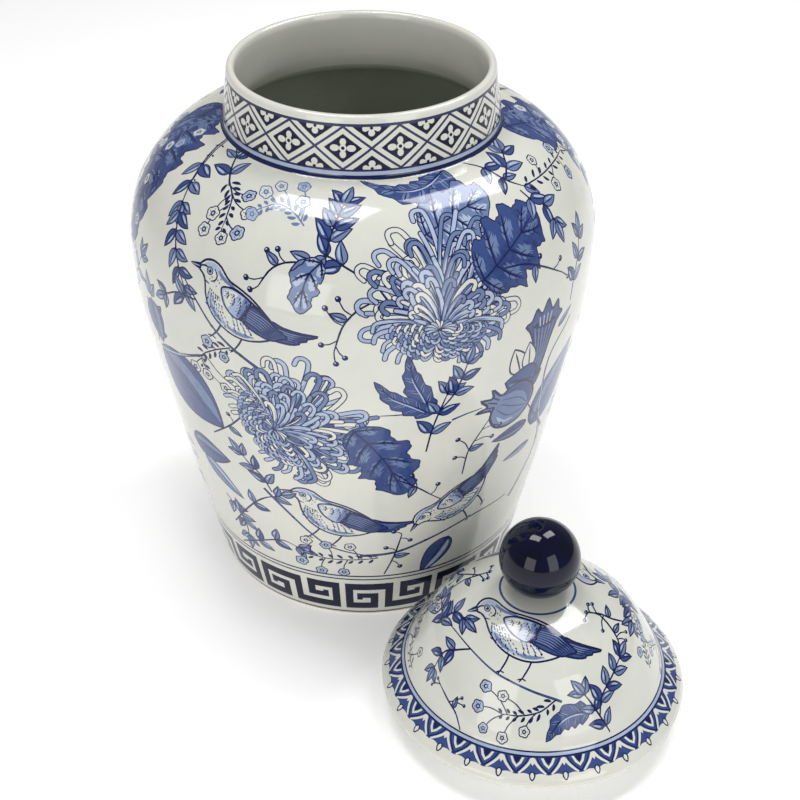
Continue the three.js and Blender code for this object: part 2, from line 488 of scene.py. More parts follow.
def chrysanthemum(R=40.0, seed=11, fan=(10, 170), petal_w=2.9, drop=0.5, tall=1.5, tone=0.6):
    """A large flower seen from the side: long hooked petals fan out above a bowl of short curled ones.
    The heart is at the origin and the flower opens towards +y, where it reaches R * tall."""
    rng = np.random.RandomState(seed)
    a = Art()

    def reach(h):
        return 1 + (tall - 1) * max(0.0, math.sin(h)) ** 1.5

    t = np.radians(np.linspace(fan[0] + 2, fan[1] - 2, 18))
    g = np.array([[R * 0.62 * reach(h) * math.cos(h), R * 0.62 * reach(h) * math.sin(h)] for h in t])
    ground = np.vstack([g, [(-0.6 * R, -0.14 * R), (-0.4 * R, -0.34 * R), (0, -0.42 * R), (0.4 * R, -0.34 * R), (0.6 * R, -0.14 * R)]])
    a.add(curve(ground, 3.0, closed=True), BLUE)

    def fillc(f):
        u = rng.rand()
        f = tone * f
        return WHITE if u < f else (PALE if u < f + 0.66 * (1 - f) else MID)

    # long petals, the outermost first, their tips hooking over
    for kR, n, f in ((1.0, 21, 0.7), (0.88, 21, 0.5), (0.75, 20, 0.4), (0.62, 18, 0.3), (0.49, 15, 0.3), (0.36, 12, 0.3)):
        ang = np.linspace(fan[0] - 8, fan[1] + 8, n) + rng.uniform(-3.0, 3.0, n)
        for j in np.argsort(np.abs(ang - 90) + rng.uniform(-12, 12, n))[::-1]:
            h = math.radians(ang[j])
            L = R * kR * rng.uniform(0.88, 1.12) * reach(h)
            out = 1 if ang[j] < 90 else -1
            if rng.rand() < 0.18:
                out = -out
            d = np.array([math.cos(h), math.sin(h)])
            s = np.array([d[1], -d[0]]) * out
            b = d * R * 0.05
            K = min(L, 46.0)
            c = rng.uniform(0.05, 0.13)
            tip = b + d * (L - 0.10 * K)
            pts = [b, b + d * L * 0.34 - s * K * 0.05, b + d * L * 0.66 - s * K * 0.03, tip + s * K * c * 0.5]
            if rng.rand() < 0.75:
                pts += [tip + d * K * 0.055 + s * K * (c + 0.05), tip + s * K * (c + 0.11) + d * K * 0.01, tip - d * K * 0.08 + s * K * (c + 0.11)]
            a.items += petal(pts, petal_w * rng.uniform(0.8, 1.05), fill=fillc(f)).items
    # petals that droop at the sides
    for sgn in (1, -1):
        for i in range(6):
            h0 = math.radians(4 - i * 10)
            L = R * (1.0 - 0.09 * i) * rng.uniform(0.92, 1.06)
            d = np.array([sgn * math.cos(h0), math.sin(h0)])
            pts = [d * R * 0.2, d * L * 0.5 + (0, R * 0.09), d * L * 0.82 + (0, R * 0.04), d * L * 0.98 + (0, -R * 0.03), d * L * 1.0 + (0, -R * 0.14)]
            a.items += petal(pts, petal_w * 0.9 * rng.uniform(0.85, 1.1), fill=fillc(0.5)).items
    # rows of short curled petals wrapped round the underside
    for kr, n in ((0.92, 17), (0.78, 15), (0.64, 13), (0.50, 11), (0.36, 9), (0.22, 6)):
        for i in range(n):
            u = (i + rng.uniform(0.35, 0.65)) / n
            h = math.radians(184 + 172 * u)
            q = np.array([math.cos(h) * R * kr * 0.72, math.sin(h) * R * kr * drop])
            inward = np.array([0, R * 0.05]) - q
            inward /= max(np.hypot(*inward), 1e-9)
            sgn = 1 if q[0] >= 0 else -1
            tang = np.array([inward[1], -inward[0]])
            L = R * 0.25 * rng.uniform(0.85, 1.15)
            pts = [q + inward * L * 0.95, q + inward * L * 0.42 - tang * sgn * 0.10 * L, q, q - inward * L * 0.12 + tang * sgn * 0.22 * L, q + inward * L * 0.06 + tang * sgn * 0.42 * L]
            a.items += petal(pts, petal_w * 0.68 * rng.uniform(0.9, 1.1), fill=fillc(0.4), ew=0.5, step=1.3).items
    # the young petals at the heart
    for i in range(11):
        h = math.radians(200 - 220 * i / 10.0)
        d = np.array([math.cos(h), 0.7 * math.sin(h)])
        L = R * 0.2 * rng.uniform(0.8, 1.1)
        a.items += petal([d * 0.4, d * L * 0.6 + (0, R * 0.02), d * L], petal_w * 0.6, fill=fillc(0.6), ew=0.45).items
    return a


# ---- birds ----------------------------------------------------------------
def bird(seed=21, dark=BLUE, flat=1.0):
    """A small perching songbird facing -x, about 60 mm from beak to tail; feet reach down to about y=-20."""
    rng = np.random.RandomState(seed)
    a = Art()
    # legs first, so that the body covers their tops
    for x0, y0, x1, y1 in ((-11.5, -9.5, -16.5, -17.0), (-1.0, -11.5, -6.0, -20.5)):
        a.line([(x0, y0), (0.5 * (x0 + x1) + 0.5, 0.5 * (y0 + y1)), (x1, y1)], 0.5, ends=(1, 0.8))
        for dx, dy in ((-2.6, -0.6), (-1.7, -1.5), (1.9, -1.0)):
            a.line([(x1, y1), (x1 + dx, y1 + dy)], 0.4, ends=(1, 0.4), step=0.9)
    # tail
    tail = [(11, -1.2), (16.5, -2.6), (23, -3.6), (30.5, -3.9), (29.0, -5.0), (26.2, -5.9), (26.6, -6.7), (23.4, -7.8), (23.2, -8.7), (19.6, -9.6), (14, -9.4), (8.5, -8.2)]
    a.shape(curve(tail, 1.0, closed=True), dark, w=0.55, smooth=False)
    for i in range(5):
        f = i / 4.0
        a.line([(12, -2.2 - 5.0 * f), (19, -3.9 - 3.9 * f), (29 - 7 * f, -4.3 - 3.9 * f)], 0.36, LINE, ends=(0.6, 0.5))
    for i in range(4):
        f = (i + 0.5) / 4.0
        a.line([(14, -2.9 - 4.6 * f), (19, -4.1 - 3.8 * f), (25 - 5 * f, -4.5 - 3.6 * f)], 0.34, MID, ends=(0.4, 0.2))
    # body
    body = [(-25.2, 10.6), (-24.2, 12.9), (-21.6, 15.0), (-18.0, 15.7), (-14.2, 14.6), (-11.3, 12.1), (-8.4, 10.2), (-3.6, 8.8), (1.6, 6.6), (6.6, 3.2), (11.0, -0.6), (13.6, -3.4), (13.8, -7.4), (10.6, -9.9), (5.4, -12.0), (-0.6, -13.1), (-6.8, -12.3), (-12.6, -9.5), (-17.0, -5.2), (-19.7, 0.4), (-20.7, 5.4), (-22.0, 8.4)]
    a.shape(curve(body, 1.0, closed=True), WHITE, w=0.55, smooth=False)
    # a soft wash down the belly and along the back
    a.add(curve([(-19.0, 0.6), (-16.4, -4.6), (-12.2, -8.6), (-6.6, -11.3), (-0.6, -12.1), (4.8, -11.1), (-0.6, -10.2), (-6.4, -9.2), (-11.4, -6.2), (-15.4, -1.4), (-17.6, 3.6)], 1.1, closed=True), PALE)
    a.add(curve([(-23.0, 12.2), (-21.0, 14.2), (-18.0, 14.9), (-14.6, 13.9), (-11.8, 11.4), (-9.0, 9.6), (-12.4, 9.8), (-16.0, 11.8), (-20.4, 12.2)], 1.0, closed=True), PALE)
    for q in ([(-15.0, 12.6), (-11.0, 9.9), (-6.0, 8.6)], [(-17.6, -0.4), (-14.8, -5.2), (-10.6, -8.6)], [(-8.0, -9.8), (-2.0, -11.2), (4.0, -10.6)]):
        a.add(stroke(q, 1.1, ends=(0.2, 0.2), swell=0.4), MID)
    # head: beak, eye stripe, eye, cheek
    a.add(curve([(-30.2, 10.9), (-27.4, 12.0), (-24.6, 12.5), (-24.0, 10.2), (-26.8, 10.0)], 0.9, closed=True), LINE)
    a.add(stroke([(-29.4, 10.85), (-27.0, 10.9), (-24.8, 11.2)], 0.22, ends=(0.4, 0.6), step=0.9), PALE)
    a.line([(-24.6, 11.6), (-22.4, 12.4), (-20.2, 12.2)], 0.45, ends=(1, 0.3))
    a.add(disc((-19.2, 11.2), 1.75, 12), LINE)
    a.add(disc((-19.2, 11.2), 1.3, 11), PALE)
    a.add(disc((-19.2, 11.2), 0.88, 9), LINE)
    a.add(disc((-19.5, 11.55), 0.28, 6), WHITE)
    a.line([(-16.6, 12.4), (-15.2, 10.4), (-16.0, 8.2), (-18.2, 7.2)], 0.4, ends=(0.3, 0.3))
    a.line([(-22.6, 8.2), (-20.6, 6.6), (-18.4, 6.0)], 0.35, ends=(0.3, 0.3))
    for i in range(16):
        c = np.array([-17.0 + rng.uniform(-4.2, 4.6), 9.6 + rng.uniform(-3.2, 4.2)])
        if (c[0] + 19.2) ** 2 + (c[1] - 11.2) ** 2 < 5 or c[1] > 14 or (c[0] < -20 and c[1] < 9):
            continue
        h = rng.uniform(-2.2, -0.9)
        e = c + 0.85 * np.array([math.cos(h), math.sin(h)])
        a.add(stroke([c, e], 0.3, ends=(0.8, 0.4), step=0.8), LINE if rng.rand() > 0.5 else MID)
    # breast: small flecks in loose rows that follow the chest
    for r in range(11):
        f = r / 10.0
        for j in range(9):
            u = (j + rng.uniform(0.2, 0.8)) / 9.0
            top = np.array([-17.8 + 8.0 * f * 0.9, 5.6 - 1.5 * f]) if f < 0.6 else np.array([-11.5 + 17.5 * (f - 0.35), 1.5 - 11.0 * (f - 0.45)])
            bot = np.array([-19.2 + 25.0 * f, 1.8 - 14.0 * math.sin(math.pi * min(1, 0.12 + f * 0.62))])
            c = top + (bot - top) * (0.08 + 0.84 * u)
            h = math.atan2(*(bot - top)[::-1]) + rng.uniform(-0.5, 0.5)
            L = rng.uniform(0.9, 1.5)
            e = c + L * np.array([math.cos(h), math.sin(h)])
            a.add(stroke([c, 0.5 * (c + e) + rng.uniform(-0.15, 0.15, 2), e], 0.36, ends=(0.8, 0.3), step=0.8), LINE if rng.rand() > 0.45 else MID)
    # wing: scalloped coverts, a row of bars, then long quills
    quills = [(-3.4, 3.4), (1.5, 3.6), (6.6, 1.6), (11.0, -1.6), (15.2, -4.6), (18.4, -7.0), (15.4, -8.2), (12.6, -9.6), (8.2, -9.2), (3.2, -7.4), (-1.8, -4.2), (-4.6, -0.6)]
    a.shape(curve(quills, 1.0, closed=True), dark, w=0.5, smooth=False)
    for i in range(7):
        f = i / 6.0
        s0 = np.array([-3.0 + 0.2 * f, 2.8 - 5.8 * f])
        e0 = np.array([17.4 - 6.2 * f, -6.4 - 2.6 * f])
        m0 = 0.5 * (s0 + e0) + (1.4 * (1 - f), 1.6 - 1.2 * f)
        a.add(stroke([s0, m0, e0], 0.38, ends=(0.7, 0.4)), LINE)
        if i < 6:
            s1, m1, e1 = s0 + (1.5, -0.5), m0 + (0.2, -0.5), e0 + (-2.6, 0.1)
            a.add(stroke([s1, m1, e1], 0.3, ends=(0.3, 0.2)), MID)
    coverts = [(-12.2, 6.6), (-7.4, 7.8), (-2.2, 6.6), (1.8, 4.4), (1.0, 1.2), (-1.0, -2.0), (-3.6, -4.2), (-7.6, -2.4), (-10.8, 1.2)]
    a.shape(curve(coverts, 1.0, closed=True), PALE, w=0.45, smooth=False)
    a.add(curve([(-11.0, 5.8), (-7.4, 6.9), (-4.2, 6.3), (-6.0, 3.4), (-8.2, -0.6), (-10.0, 1.6)], 1.1, closed=True), WHITE)
    a.add(curve([(-1.0, 5.6), (1.2, 4.2), (0.6, 1.2), (-1.2, -2.0), (-3.4, -3.6), (-4.4, -2.6), (-2.4, 1.0)], 1.1, closed=True), MID)
    for r in range(4):
        x0 = -10.2 + 3.0 * r
        n = 3 + r
        for j in range(n):
            f = (j + 0.5) / n
            c = np.array([x0 + 1.0 * math.sin(math.pi * f), 6.2 - 0.3 * r - (4.6 + 2.0 * r) * f * (0.6 + 0.12 * r)])
            q = [c + (-0.9, 0.75), c + (0.55, 0.5), c + (0.95, -0.2), c + (0.2, -0.85), c + (-0.9, -0.7)]
            a.add(stroke(q[1:4], 0.34, ends=(0.6, 0.5), step=0.8), LINE)
            a.add(stroke([c + (-0.9, 0.0), c + (0.2, 0.0)], 0.3, ends=(0.5, 0.5), step=0.8), MID)
    for j in range(8):
        f = j / 7.0
        c = np.array([0.9 - 3.8 * f, 3.6 - 7.0 * f])
        a.add(stroke([c, c + (1.9, -0.55)], 0.62, ends=(0.5, 0.5), step=0.9), LINE)
    a.line([(-12.0, 6.8), (-7.4, 8.1), (-2.2, 6.9), (2.4, 4.6), (7.4, 1.6), (12.0, -2.0), (17.6, -6.4)], 0.6, ends=(0.4, 0.5))
    # the whole bird stretched up and down by flat
    a.items = [(p_ * (1.0, flat), c_) for p_, c_ in a.items]
    return a


def branch(path, w=1.6, knots=(), twigs=(), fill=BLUE):
    """A thin bough: a dark outline with a paler core, thick at its first point."""
    a = Art()
    p = curve(path, 1.5)
    t = np.linspace(0, 1, len(p))
    half = 0.5 * w * (1 - 0.62 * t)
    for tw in twigs:
        a.line(tw, 0.5, ends=(1, 0.4))
    m = side(p) * half[:, None]
    out = np.vstack([p + m, (p - m)[::-1]])
    a.add(out, LINE)
    k = max(4, int(len(p) * 0.75))
    if w > 1.0:
        a.add(stroke(p[:k], w * 0.34, ends=(0.8, 0.1), smooth=False), fill)
    for at in knots:
        c = np.array([np.interp(at, t, p[:, 0]), np.interp(at, t, p[:, 1])])
        a.add(disc(c, 0.55 * w * (1 - 0.4 * at), 8), LINE)
    return a
# ---------------------------------------------------------------------------
# The turned outlines, in millimetres from each piece's own axis, as (radius, height).
# ---------------------------------------------------------------------------
JAR_WALL = [(88.3, 1.6), (89.9, 7), (92.4, 18.1), (97.6, 42.2), (104.8, 75.4), (112.2, 111.6), (119.6, 150.8), (124.1, 177), (125.7, 200), (126, 211), (125.2, 222), (121.4, 235.2), (117.0, 243.5), (110.2, 252.9), (101.5, 261.2), (91.0, 267.6), (81.5, 271.2), (73.4, 273), (72.5, 280), (71.2, 289), (70.2, 297), (69.8, 300.4)]
JAR_LIP = [(69.4, 302.4), (68.4, 303.6), (66.4, 303.6), (65.4, 302.2), (65, 299.6), (65, 280), (66.4, 273), (72.6, 267.2), (85.5, 262.6), (97.2, 256), (105.4, 248.2), (112.2, 238.2), (116.8, 228), (119.6, 216), (120, 205), (118.2, 179), (113.6, 151.4), (106.3, 112.6), (98.9, 76.6), (91.6, 43.8), (86.4, 22), (82, 14), (76, 11), (0.5, 11)]
JAR_BASE = [(0.5, 4), (79.6, 4), (80.8, 3.4), (81.6, 0.6), (82.4, 0), (86.6, 0), (87.6, 0.5)]
LID_TOP = [(80.75, 17.85), (79.9, 19.6), (76.2, 22.9), (72.0, 26.2), (68.9, 28.8), (67.6, 30.6), (65.8, 35.6), (58.8, 48.9), (54.2, 56.4), (48.3, 62.9), (37.8, 70.5), (27.3, 74.6), (16.8, 77.1), (8, 78.0)]
LID_CROWN = [(0.5, 78.2)]
LID_UNDER = [(0.5, 73), (16.2, 72), (26.2, 69.2), (36.2, 65), (45.4, 57.4), (53.6, 45), (57.6, 34), (58.5, 24.2), (63.4, 24.2), (63.4, 23.6), (70.6, 23.6), (74.8, 19.6), (78.2, 15.6), (79.6, 15.0), (80.5, 16.0)]


def arc(p):
    return np.concatenate([[0], np.cumsum(np.hypot(*np.diff(v2(p), axis=0).T))])


class Outline:
    """A turned surface unrolled: s runs along the painted side, x round the axis."""

    def __init__(self, painted, before, after, nominal):
        self.paint = curve(painted, 0.6)
        self.before, self.after, self.R0 = v2(before), v2(after), nominal
        self.all = np.vstack([self.before, self.paint, self.after])
        s = arc(self.all)
        self.s = s - s[len(self.before)]
        self.length = self.s[len(self.before) + len(self.paint) - 1]

    def rz(self, s):
        return np.interp(s, self.s, self.all[:, 0]), np.interp(s, self.s, self.all[:, 1])

    def s_at(self, z):
        """The place along the painted side at a height."""
        p = self.paint
        s = arc(p)
        return float(np.interp(z, p[:, 1], s))

    def normal(self, s, h=0.9):
        r0, z0 = self.rz(np.maximum(np.asarray(s) - h, self.s[0]))
        r1, z1 = self.rz(np.minimum(np.asarray(s) + h, self.s[-1]))
        d = np.stack([r1 - r0, z1 - z0], -1)
        d /= np.maximum(np.hypot(d[..., 0], d[..., 1]), 1e-9)[..., None]
        return d[..., 1], -d[..., 0]


JAR = Outline(JAR_WALL, JAR_BASE, JAR_LIP, 110.0)
LID = Outline(LID_TOP, LID_UNDER, LID_CROWN, 50.0)
# ---------------------------------------------------------------------------
# Borders
# ---------------------------------------------------------------------------
def at(form, deg, s):
    """Chart position of an angle (front is -90 degrees) and a place along the outline."""
    return (form.R0 * (math.radians(deg) + math.pi / 2), s)


def band(form, s0, s1, c):
    W = math.pi * form.R0 + 4
    return (np.array([(-W, s0), (W, s0), (W, s1), (-W, s1)], float), c)


def place(out, form, art, deg, s, turn=0.0, size=1.0, flip=False, copies=(0,)):
    """Puts a motif on the form with its own millimetres kept true where it lands."""
    a = Art().put(art, (0, 0), turn, size, flip)
    for extra in copies:
        for p, c in a.items:
            y = np.clip(s + p[:, 1], 0.1, form.length - 0.1)
            r = form.rz(y)[0]
            th = math.radians(deg + extra) + math.pi / 2
            x = form.R0 * (th + p[:, 0] / r)
            W = math.pi * form.R0
            if x.mean() > W:
                x = x - 2 * W
            elif x.mean() < -W:
                x = x + 2 * W
            out.append((np.stack([x, y], 1), c))


def place_flat(out, form, art, deg, s, turn=0.0, size=1.0, flip=False, copies=(0,)):
    """For a dome: the motif is laid flat on the disc that the dome unrolls to, round its crown."""
    a = Art().put(art, (0, 0), turn, size, flip)
    for extra in copies:
        ph = math.radians(deg + extra) + math.pi / 2
        rho = form.length - s
        o = np.array([rho * math.sin(ph), -rho * math.cos(ph)])
        ex, ey = np.array([math.cos(ph), math.sin(ph)]), np.array([-math.sin(ph), math.cos(ph)])
        for p, c in a.items:
            q = o + np.outer(p[:, 0], ex) + np.outer(p[:, 1], ey)
            r = np.hypot(q[:, 0], q[:, 1])
            th = np.arctan2(q[:, 0], -q[:, 1])
            th = np.unwrap(th)
            if th.mean() > math.pi:
                th = th - 2 * math.pi
            elif th.mean() < -math.pi:
                th = th + 2 * math.pi
            out.append((np.stack([form.R0 * th, np.clip(form.length - r, 0.1, form.length - 0.5)], 1), c))


def jar_borders():
    f = JAR
    out = [band(f, 0.0, f.s_at(37.0), WHITE), band(f, 0.5, 1.9, LINE)]
    # key fret round the foot: eleven pairs of hooks, each pair a half turn of the other
    lo, hi = f.s_at(6.4), f.s_at(29.4)
    out.append(band(f, f.s_at(32.9), f.s_at(34.0), LINE))
    out.append(band(f, f.s_at(35.8), f.s_at(37.0), LINE))
    H = hi - lo
    n = 11
    for k in range(n):
        a0 = math.radians(-98.6 + k * 360 / n) + math.pi / 2
        wide = 2 * math.pi / n

        def q(pts, c=NAVY):
            p = v2(pts)
            return (np.stack([f.R0 * (a0 + p[:, 0] * wide), lo + p[:, 1] * H], 1), c)

        # one spiral, under the bar that joins it to the middle upright
        spiral = [
            (0.03, 0), (0.385, 0), (0.385, 0.62), (0.155, 0.62), (0.155, 0.36), (0.215, 0.36), (0.215, 0.43), (0.30, 0.43),
            (0.30, 0.24), (0.114, 0.24), (0.114, 0.75), (0.458, 0.75), (0.458, 0), (0.5, 0), (0.5, 1), (0.03, 1),
        ]
        out.append(q(spiral))
        out.append(q([(1 - x, 1 - y) for x, y in spiral]))
    # neck: line, a blue band painted pale as its highlight, line, lattice, line
    out.append(band(f, f.s_at(272.7) - 0.4, f.s_at(274.3), LINE))
    out.append(band(f, f.s_at(274.3), f.s_at(276.5), PALE))
    out.append(band(f, f.s_at(276.3), f.s_at(277.5), LINE))
    lo, hi = f.s_at(277.4), f.s_at(298.7)
    out.append(band(f, lo, hi, NAVY))
    out.append(band(f, f.s_at(298.5), f.s_at(300.1), LINE))
    H = hi - lo
    n = 16
    for k in range(n):
        c0 = math.radians(-97.6 + k * 360 / n) + math.pi / 2
        w = 2 * math.pi / n

        def m(pts, c):
            p = np.asarray(pts, float)
            return (np.stack([f.R0 * (c0 + p[:, 0] * w), lo + (0.5 + p[:, 1]) * H], 1), c)

        # one strap of the lattice down each side of the diamond, with its centre line
        for sx in (1, -1):
            for sy in (1, -1):
                h = 0.165
                out.append(m([(sx * h, sy * 0.5), (sx * 0.5, sy * h), (sx * 0.5, 0), (sx * (0.5 - h), 0), (0, sy * (0.5 - h)), (0, sy * 0.5)], WHITE))
        for sx in (1, -1):
            for sy in (1, -1):
                t_ = 0.036
                out.append(m([(0, sy * 0.5), (0, sy * (0.5 - t_)), (sx * (0.5 - t_), 0), (sx * 0.5, 0), (sx * 0.5, sy * t_), (sx * t_, sy * 0.5)], LINE))
        r = f.rz(0.5 * (lo + hi))[0]
        kx, ky = 1.0 / (w * r), 1.0 / H
        for dx, dy, ra_, rb_ in ((4.1, 0, 2.3, 1.7), (-4.1, 0, 2.3, 1.7), (0, 3.1, 1.6, 1.9), (0, -3.1, 1.6, 1.9)):
            p = disc((dx, dy), ra_, 12, rb_ / ra_)
            out.append(m(np.stack([p[:, 0] * kx, p[:, 1] * ky], 1), WHITE))
        p = disc((0, 0), 1.9, 8)
        out.append(m(np.stack([p[:, 0] * kx, p[:, 1] * ky], 1), WHITE))
        p = disc((0, 0), 0.95, 8)
        out.append(m(np.stack([p[:, 0] * kx, p[:, 1] * ky], 1), NAVY))
        # half flowers against the top and bottom edges
        for sy in (1, -1):
            y0 = sy * 0.5 / ky
            for dx, dy, rr in ((0, -3.1, 1.7), (-3.1, -0.9, 1.5), (3.1, -0.9, 1.5), (-1.6, -0.7, 1.2), (1.6, -0.7, 1.2), (0, -1.4, 1.3)):
                p = disc((dx, y0 + sy * dy), rr, 10)
                q_ = np.stack([0.5 + p[:, 0] * kx, np.clip(p[:, 1] * ky, -0.497, 0.497)], 1)
                out.append(m(q_, WHITE))
            p = disc((0, y0 - sy * 0.6), 0.85, 7)
            out.append(m(np.stack([0.5 + p[:, 0] * kx, np.clip(p[:, 1] * ky, -0.498, 0.498)], 1), NAVY))
    return out


def lid_borders():
    f = LID
    ra, sa = f.paint[:, 0][::-1], arc(f.paint)[::-1]

    def s_r(r):
        k = np.argsort(ra)
        return float(np.interp(r, ra[k], sa[k]))

    out = [band(f, 0.0, s_r(68.4), WHITE)]
    inner, outer, tip = s_r(70.3), s_r(77.4), s_r(79.6)
    n = 29
    for k in range(n):
        a0 = math.radians(-82.9 + k * 360 / n) + math.pi / 2
        w = 2 * math.pi / n

        def m(pts, c):
            p = np.asarray(pts, float)
            return (np.stack([f.R0 * (a0 + p[:, 0] * w), inner + (outer - inner) * p[:, 1]], 1), c)

        # the blue ground, its outer edge gently scalloped
        t = np.linspace(-0.5, 0.5, 17)
        e = 0.955 + 0.045 * np.cos(4 * np.pi * t)
        out.append(m(list(zip(t, e)) + [(0.5, -0.02), (-0.5, -0.02)], BLUE))
        # a pale arch from the ring out to the points of the lappets on either side
        for sx in (1, -1):
            up = [(0.0, 0.16), (0.09 * sx, 0.44), (0.22 * sx, 0.70), (0.40 * sx, 0.985)]
            dn = [(0.43 * sx, 0.90), (0.27 * sx, 0.60), (0.15 * sx, 0.34), (0.075 * sx, 0.10), (0.0, 0.06)]
            out.append(m(curve(up, 0.09) .tolist() + curve(dn, 0.09).tolist(), WHITE))
        out.append(m([(0, 0.10), (0.055, 0.36), (0, 0.50), (-0.055, 0.36)], WHITE))
        # darker outlines of the lappets
        for sx in (1, -1):
            out.append(m(curve([(0.105 * sx, 0.02), (0.18 * sx, 0.32), (0.30 * sx, 0.60), (0.5 * sx, 0.96)], 0.1).tolist() + curve([(0.5 * sx, 0.86), (0.335 * sx, 0.56), (0.215 * sx, 0.30), (0.145 * sx, 0.02)], 0.1).tolist(), LINE))
            # the pale V inside, and the ink inside that
            g = 0.5 * sx
            out.append(m([(g - 0.235 * sx, 0.08), (g - 0.14 * sx, 0.42), (g, 0.66), (g, 0.50), (g - 0.085 * sx, 0.32), (g - 0.15 * sx, 0.08)], WHITE))
            out.append(m([(g - 0.13 * sx, 0.05), (g - 0.07 * sx, 0.28), (g, 0.42), (g, 0.05)], LINE))
        # the drop that hangs between the lappets
        y1 = (tip - inner) / (outer - inner)
        drop = curve([(0, 0.80), (0.075, 0.88), (0.105, 1.02), (0.06, y1 - 0.09), (0, y1), (-0.06, y1 - 0.09), (-0.105, 1.02), (-0.075, 0.88)], 0.06, closed=True)
        out.append(m(drop, LINE))
        out.append(m((drop - (0, 1.02)) * (0.56, 0.72) + (0, 1.02), WHITE))
    out.append(band(f, s_r(70.6), s_r(68.3), LINE))
    out.append(band(f, s_r(69.95), s_r(68.85), PALE))
    out.append(band(f, s_r(20.1), s_r(18.9), BLUE))
    return out
# ---------------------------------------------------------------------------
# From painted polygons to a mesh whose faces follow every brush mark.
# ---------------------------------------------------------------------------
def triangulate(V, E):
    r = delaunay_2d_cdt([Vector((float(x), float(y))) for x, y in V], E, [], 0, 1e-4, False)
    verts = np.array([(q[0], q[1]) for q in r[0]], float).reshape(-1, 2)
    return verts, np.array(r[2], dtype=np.int64).reshape(-1, 3)


def inside(poly, q):
    x, y = q[:, 0][:, None], q[:, 1][:, None]
    a, b = poly, np.roll(poly, -1, 0)
    up = (a[:, 1] <= y) & (b[:, 1] > y)
    dn = (a[:, 1] > y) & (b[:, 1] <= y)
    cr = (b[:, 0] - a[:, 0]) * (y - a[:, 1]) - (x - a[:, 0]) * (b[:, 1] - a[:, 1])
    return ((up & (cr > 0)).sum(1) - (dn & (cr < 0)).sum(1)) != 0


def colours(items, q):
    """The class of each point: the last polygon painted over it, or bare glaze."""
    o = np.argsort(q[:, 0], kind="stable")
    xs = q[o, 0]
    cls = np.full(len(q), -1, dtype=np.int64)
    for poly, c in reversed(items):
        x0, y0 = poly.min(0)
        x1, y1 = poly.max(0)
        i, j = np.searchsorted(xs, x0), np.searchsorted(xs, x1)
        if j <= i:
            continue
        k = o[i:j]
        k = k[(cls[k] < 0) & (q[k, 1] >= y0) & (q[k, 1] <= y1)]
        for part in np.array_split(k, max(1, len(k) * len(poly) // 4000000)):
            if len(part):
                hit = inside(poly, q[part])
                cls[part[hit]] = c
    cls[cls < 0] = WHITE
    return cls


def outlines(T, cls, n):
    """The edges between triangles of different colours."""
    e = np.sort(np.vstack([T[:, [0, 1]], T[:, [1, 2]], T[:, [2, 0]]]), 1)
    f = np.tile(np.arange(len(T)), 3)
    key = e[:, 0] * n + e[:, 1]
    o = np.argsort(key, kind="stable")
    same = key[o][1:] == key[o][:-1]
    i, j = o[:-1][same], o[1:][same]
    return e[i[cls[f[i]] != cls[f[j]]]]


def thin(V, E, keep, most=6.0, tol=0.075, rounds=8):
    """Drops the points of an outline that lie on the line between their neighbours."""
    rng = np.random.RandomState(4)
    n = len(V)
    for _ in range(rounds):
        deg = np.bincount(E.ravel(), minlength=n)
        flat = np.vstack([E, E[:, ::-1]])
        flat = flat[np.argsort(flat[:, 0], kind="stable")]
        start = np.searchsorted(flat[:, 0], np.arange(n))
        v = np.where((deg == 2) & ~keep)[0]
        if not len(v):
            break
        a, b = flat[start[v], 1], flat[start[v] + 1, 1]
        ab, av = V[b] - V[a], V[v] - V[a]
        L = np.maximum(np.hypot(ab[:, 0], ab[:, 1]), 1e-12)
        u = (av * ab).sum(1) / L**2
        d = np.abs(ab[:, 0] * av[:, 1] - ab[:, 1] * av[:, 0]) / L
        short = (np.hypot(*av.T) < 0.12) | (np.hypot(*(V[v] - V[b]).T) < 0.12)
        ok = (a != b) & (u > 0) & (u < 1) & ((d < tol) | (short & (d < 3 * tol))) & (L < most)
        v, a, b = v[ok], a[ok], b[ok]
        pri = np.zeros(n)
        pri[v] = rng.permutation(len(v)) + 1
        ok = (pri[v] > pri[a]) & (pri[v] > pri[b])
        v, a, b = v[ok], a[ok], b[ok]
        if not len(v):
            break
        gone = np.zeros(n, bool)
        gone[v] = True
        E = E[~(gone[E[:, 0]] | gone[E[:, 1]])]
        new = np.sort(np.stack([a, b], 1), 1)
        E = np.vstack([E, new])
        E = E[E[:, 0] != E[:, 1]]
        E = np.unique(E, axis=0)
    return E


def split_long(p, most=4.0):
    """Extra points on long straight edges, so that they can follow the turned surface."""
    out = []
    for a, b in zip(p, np.roll(p, -1, 0)):
        n = max(1, int(math.ceil(math.hypot(b[0] - a[0], b[1] - a[1]) / most)))
        for k in range(n):
            out.append(a + (b - a) * (k / n))
    return np.array(out)


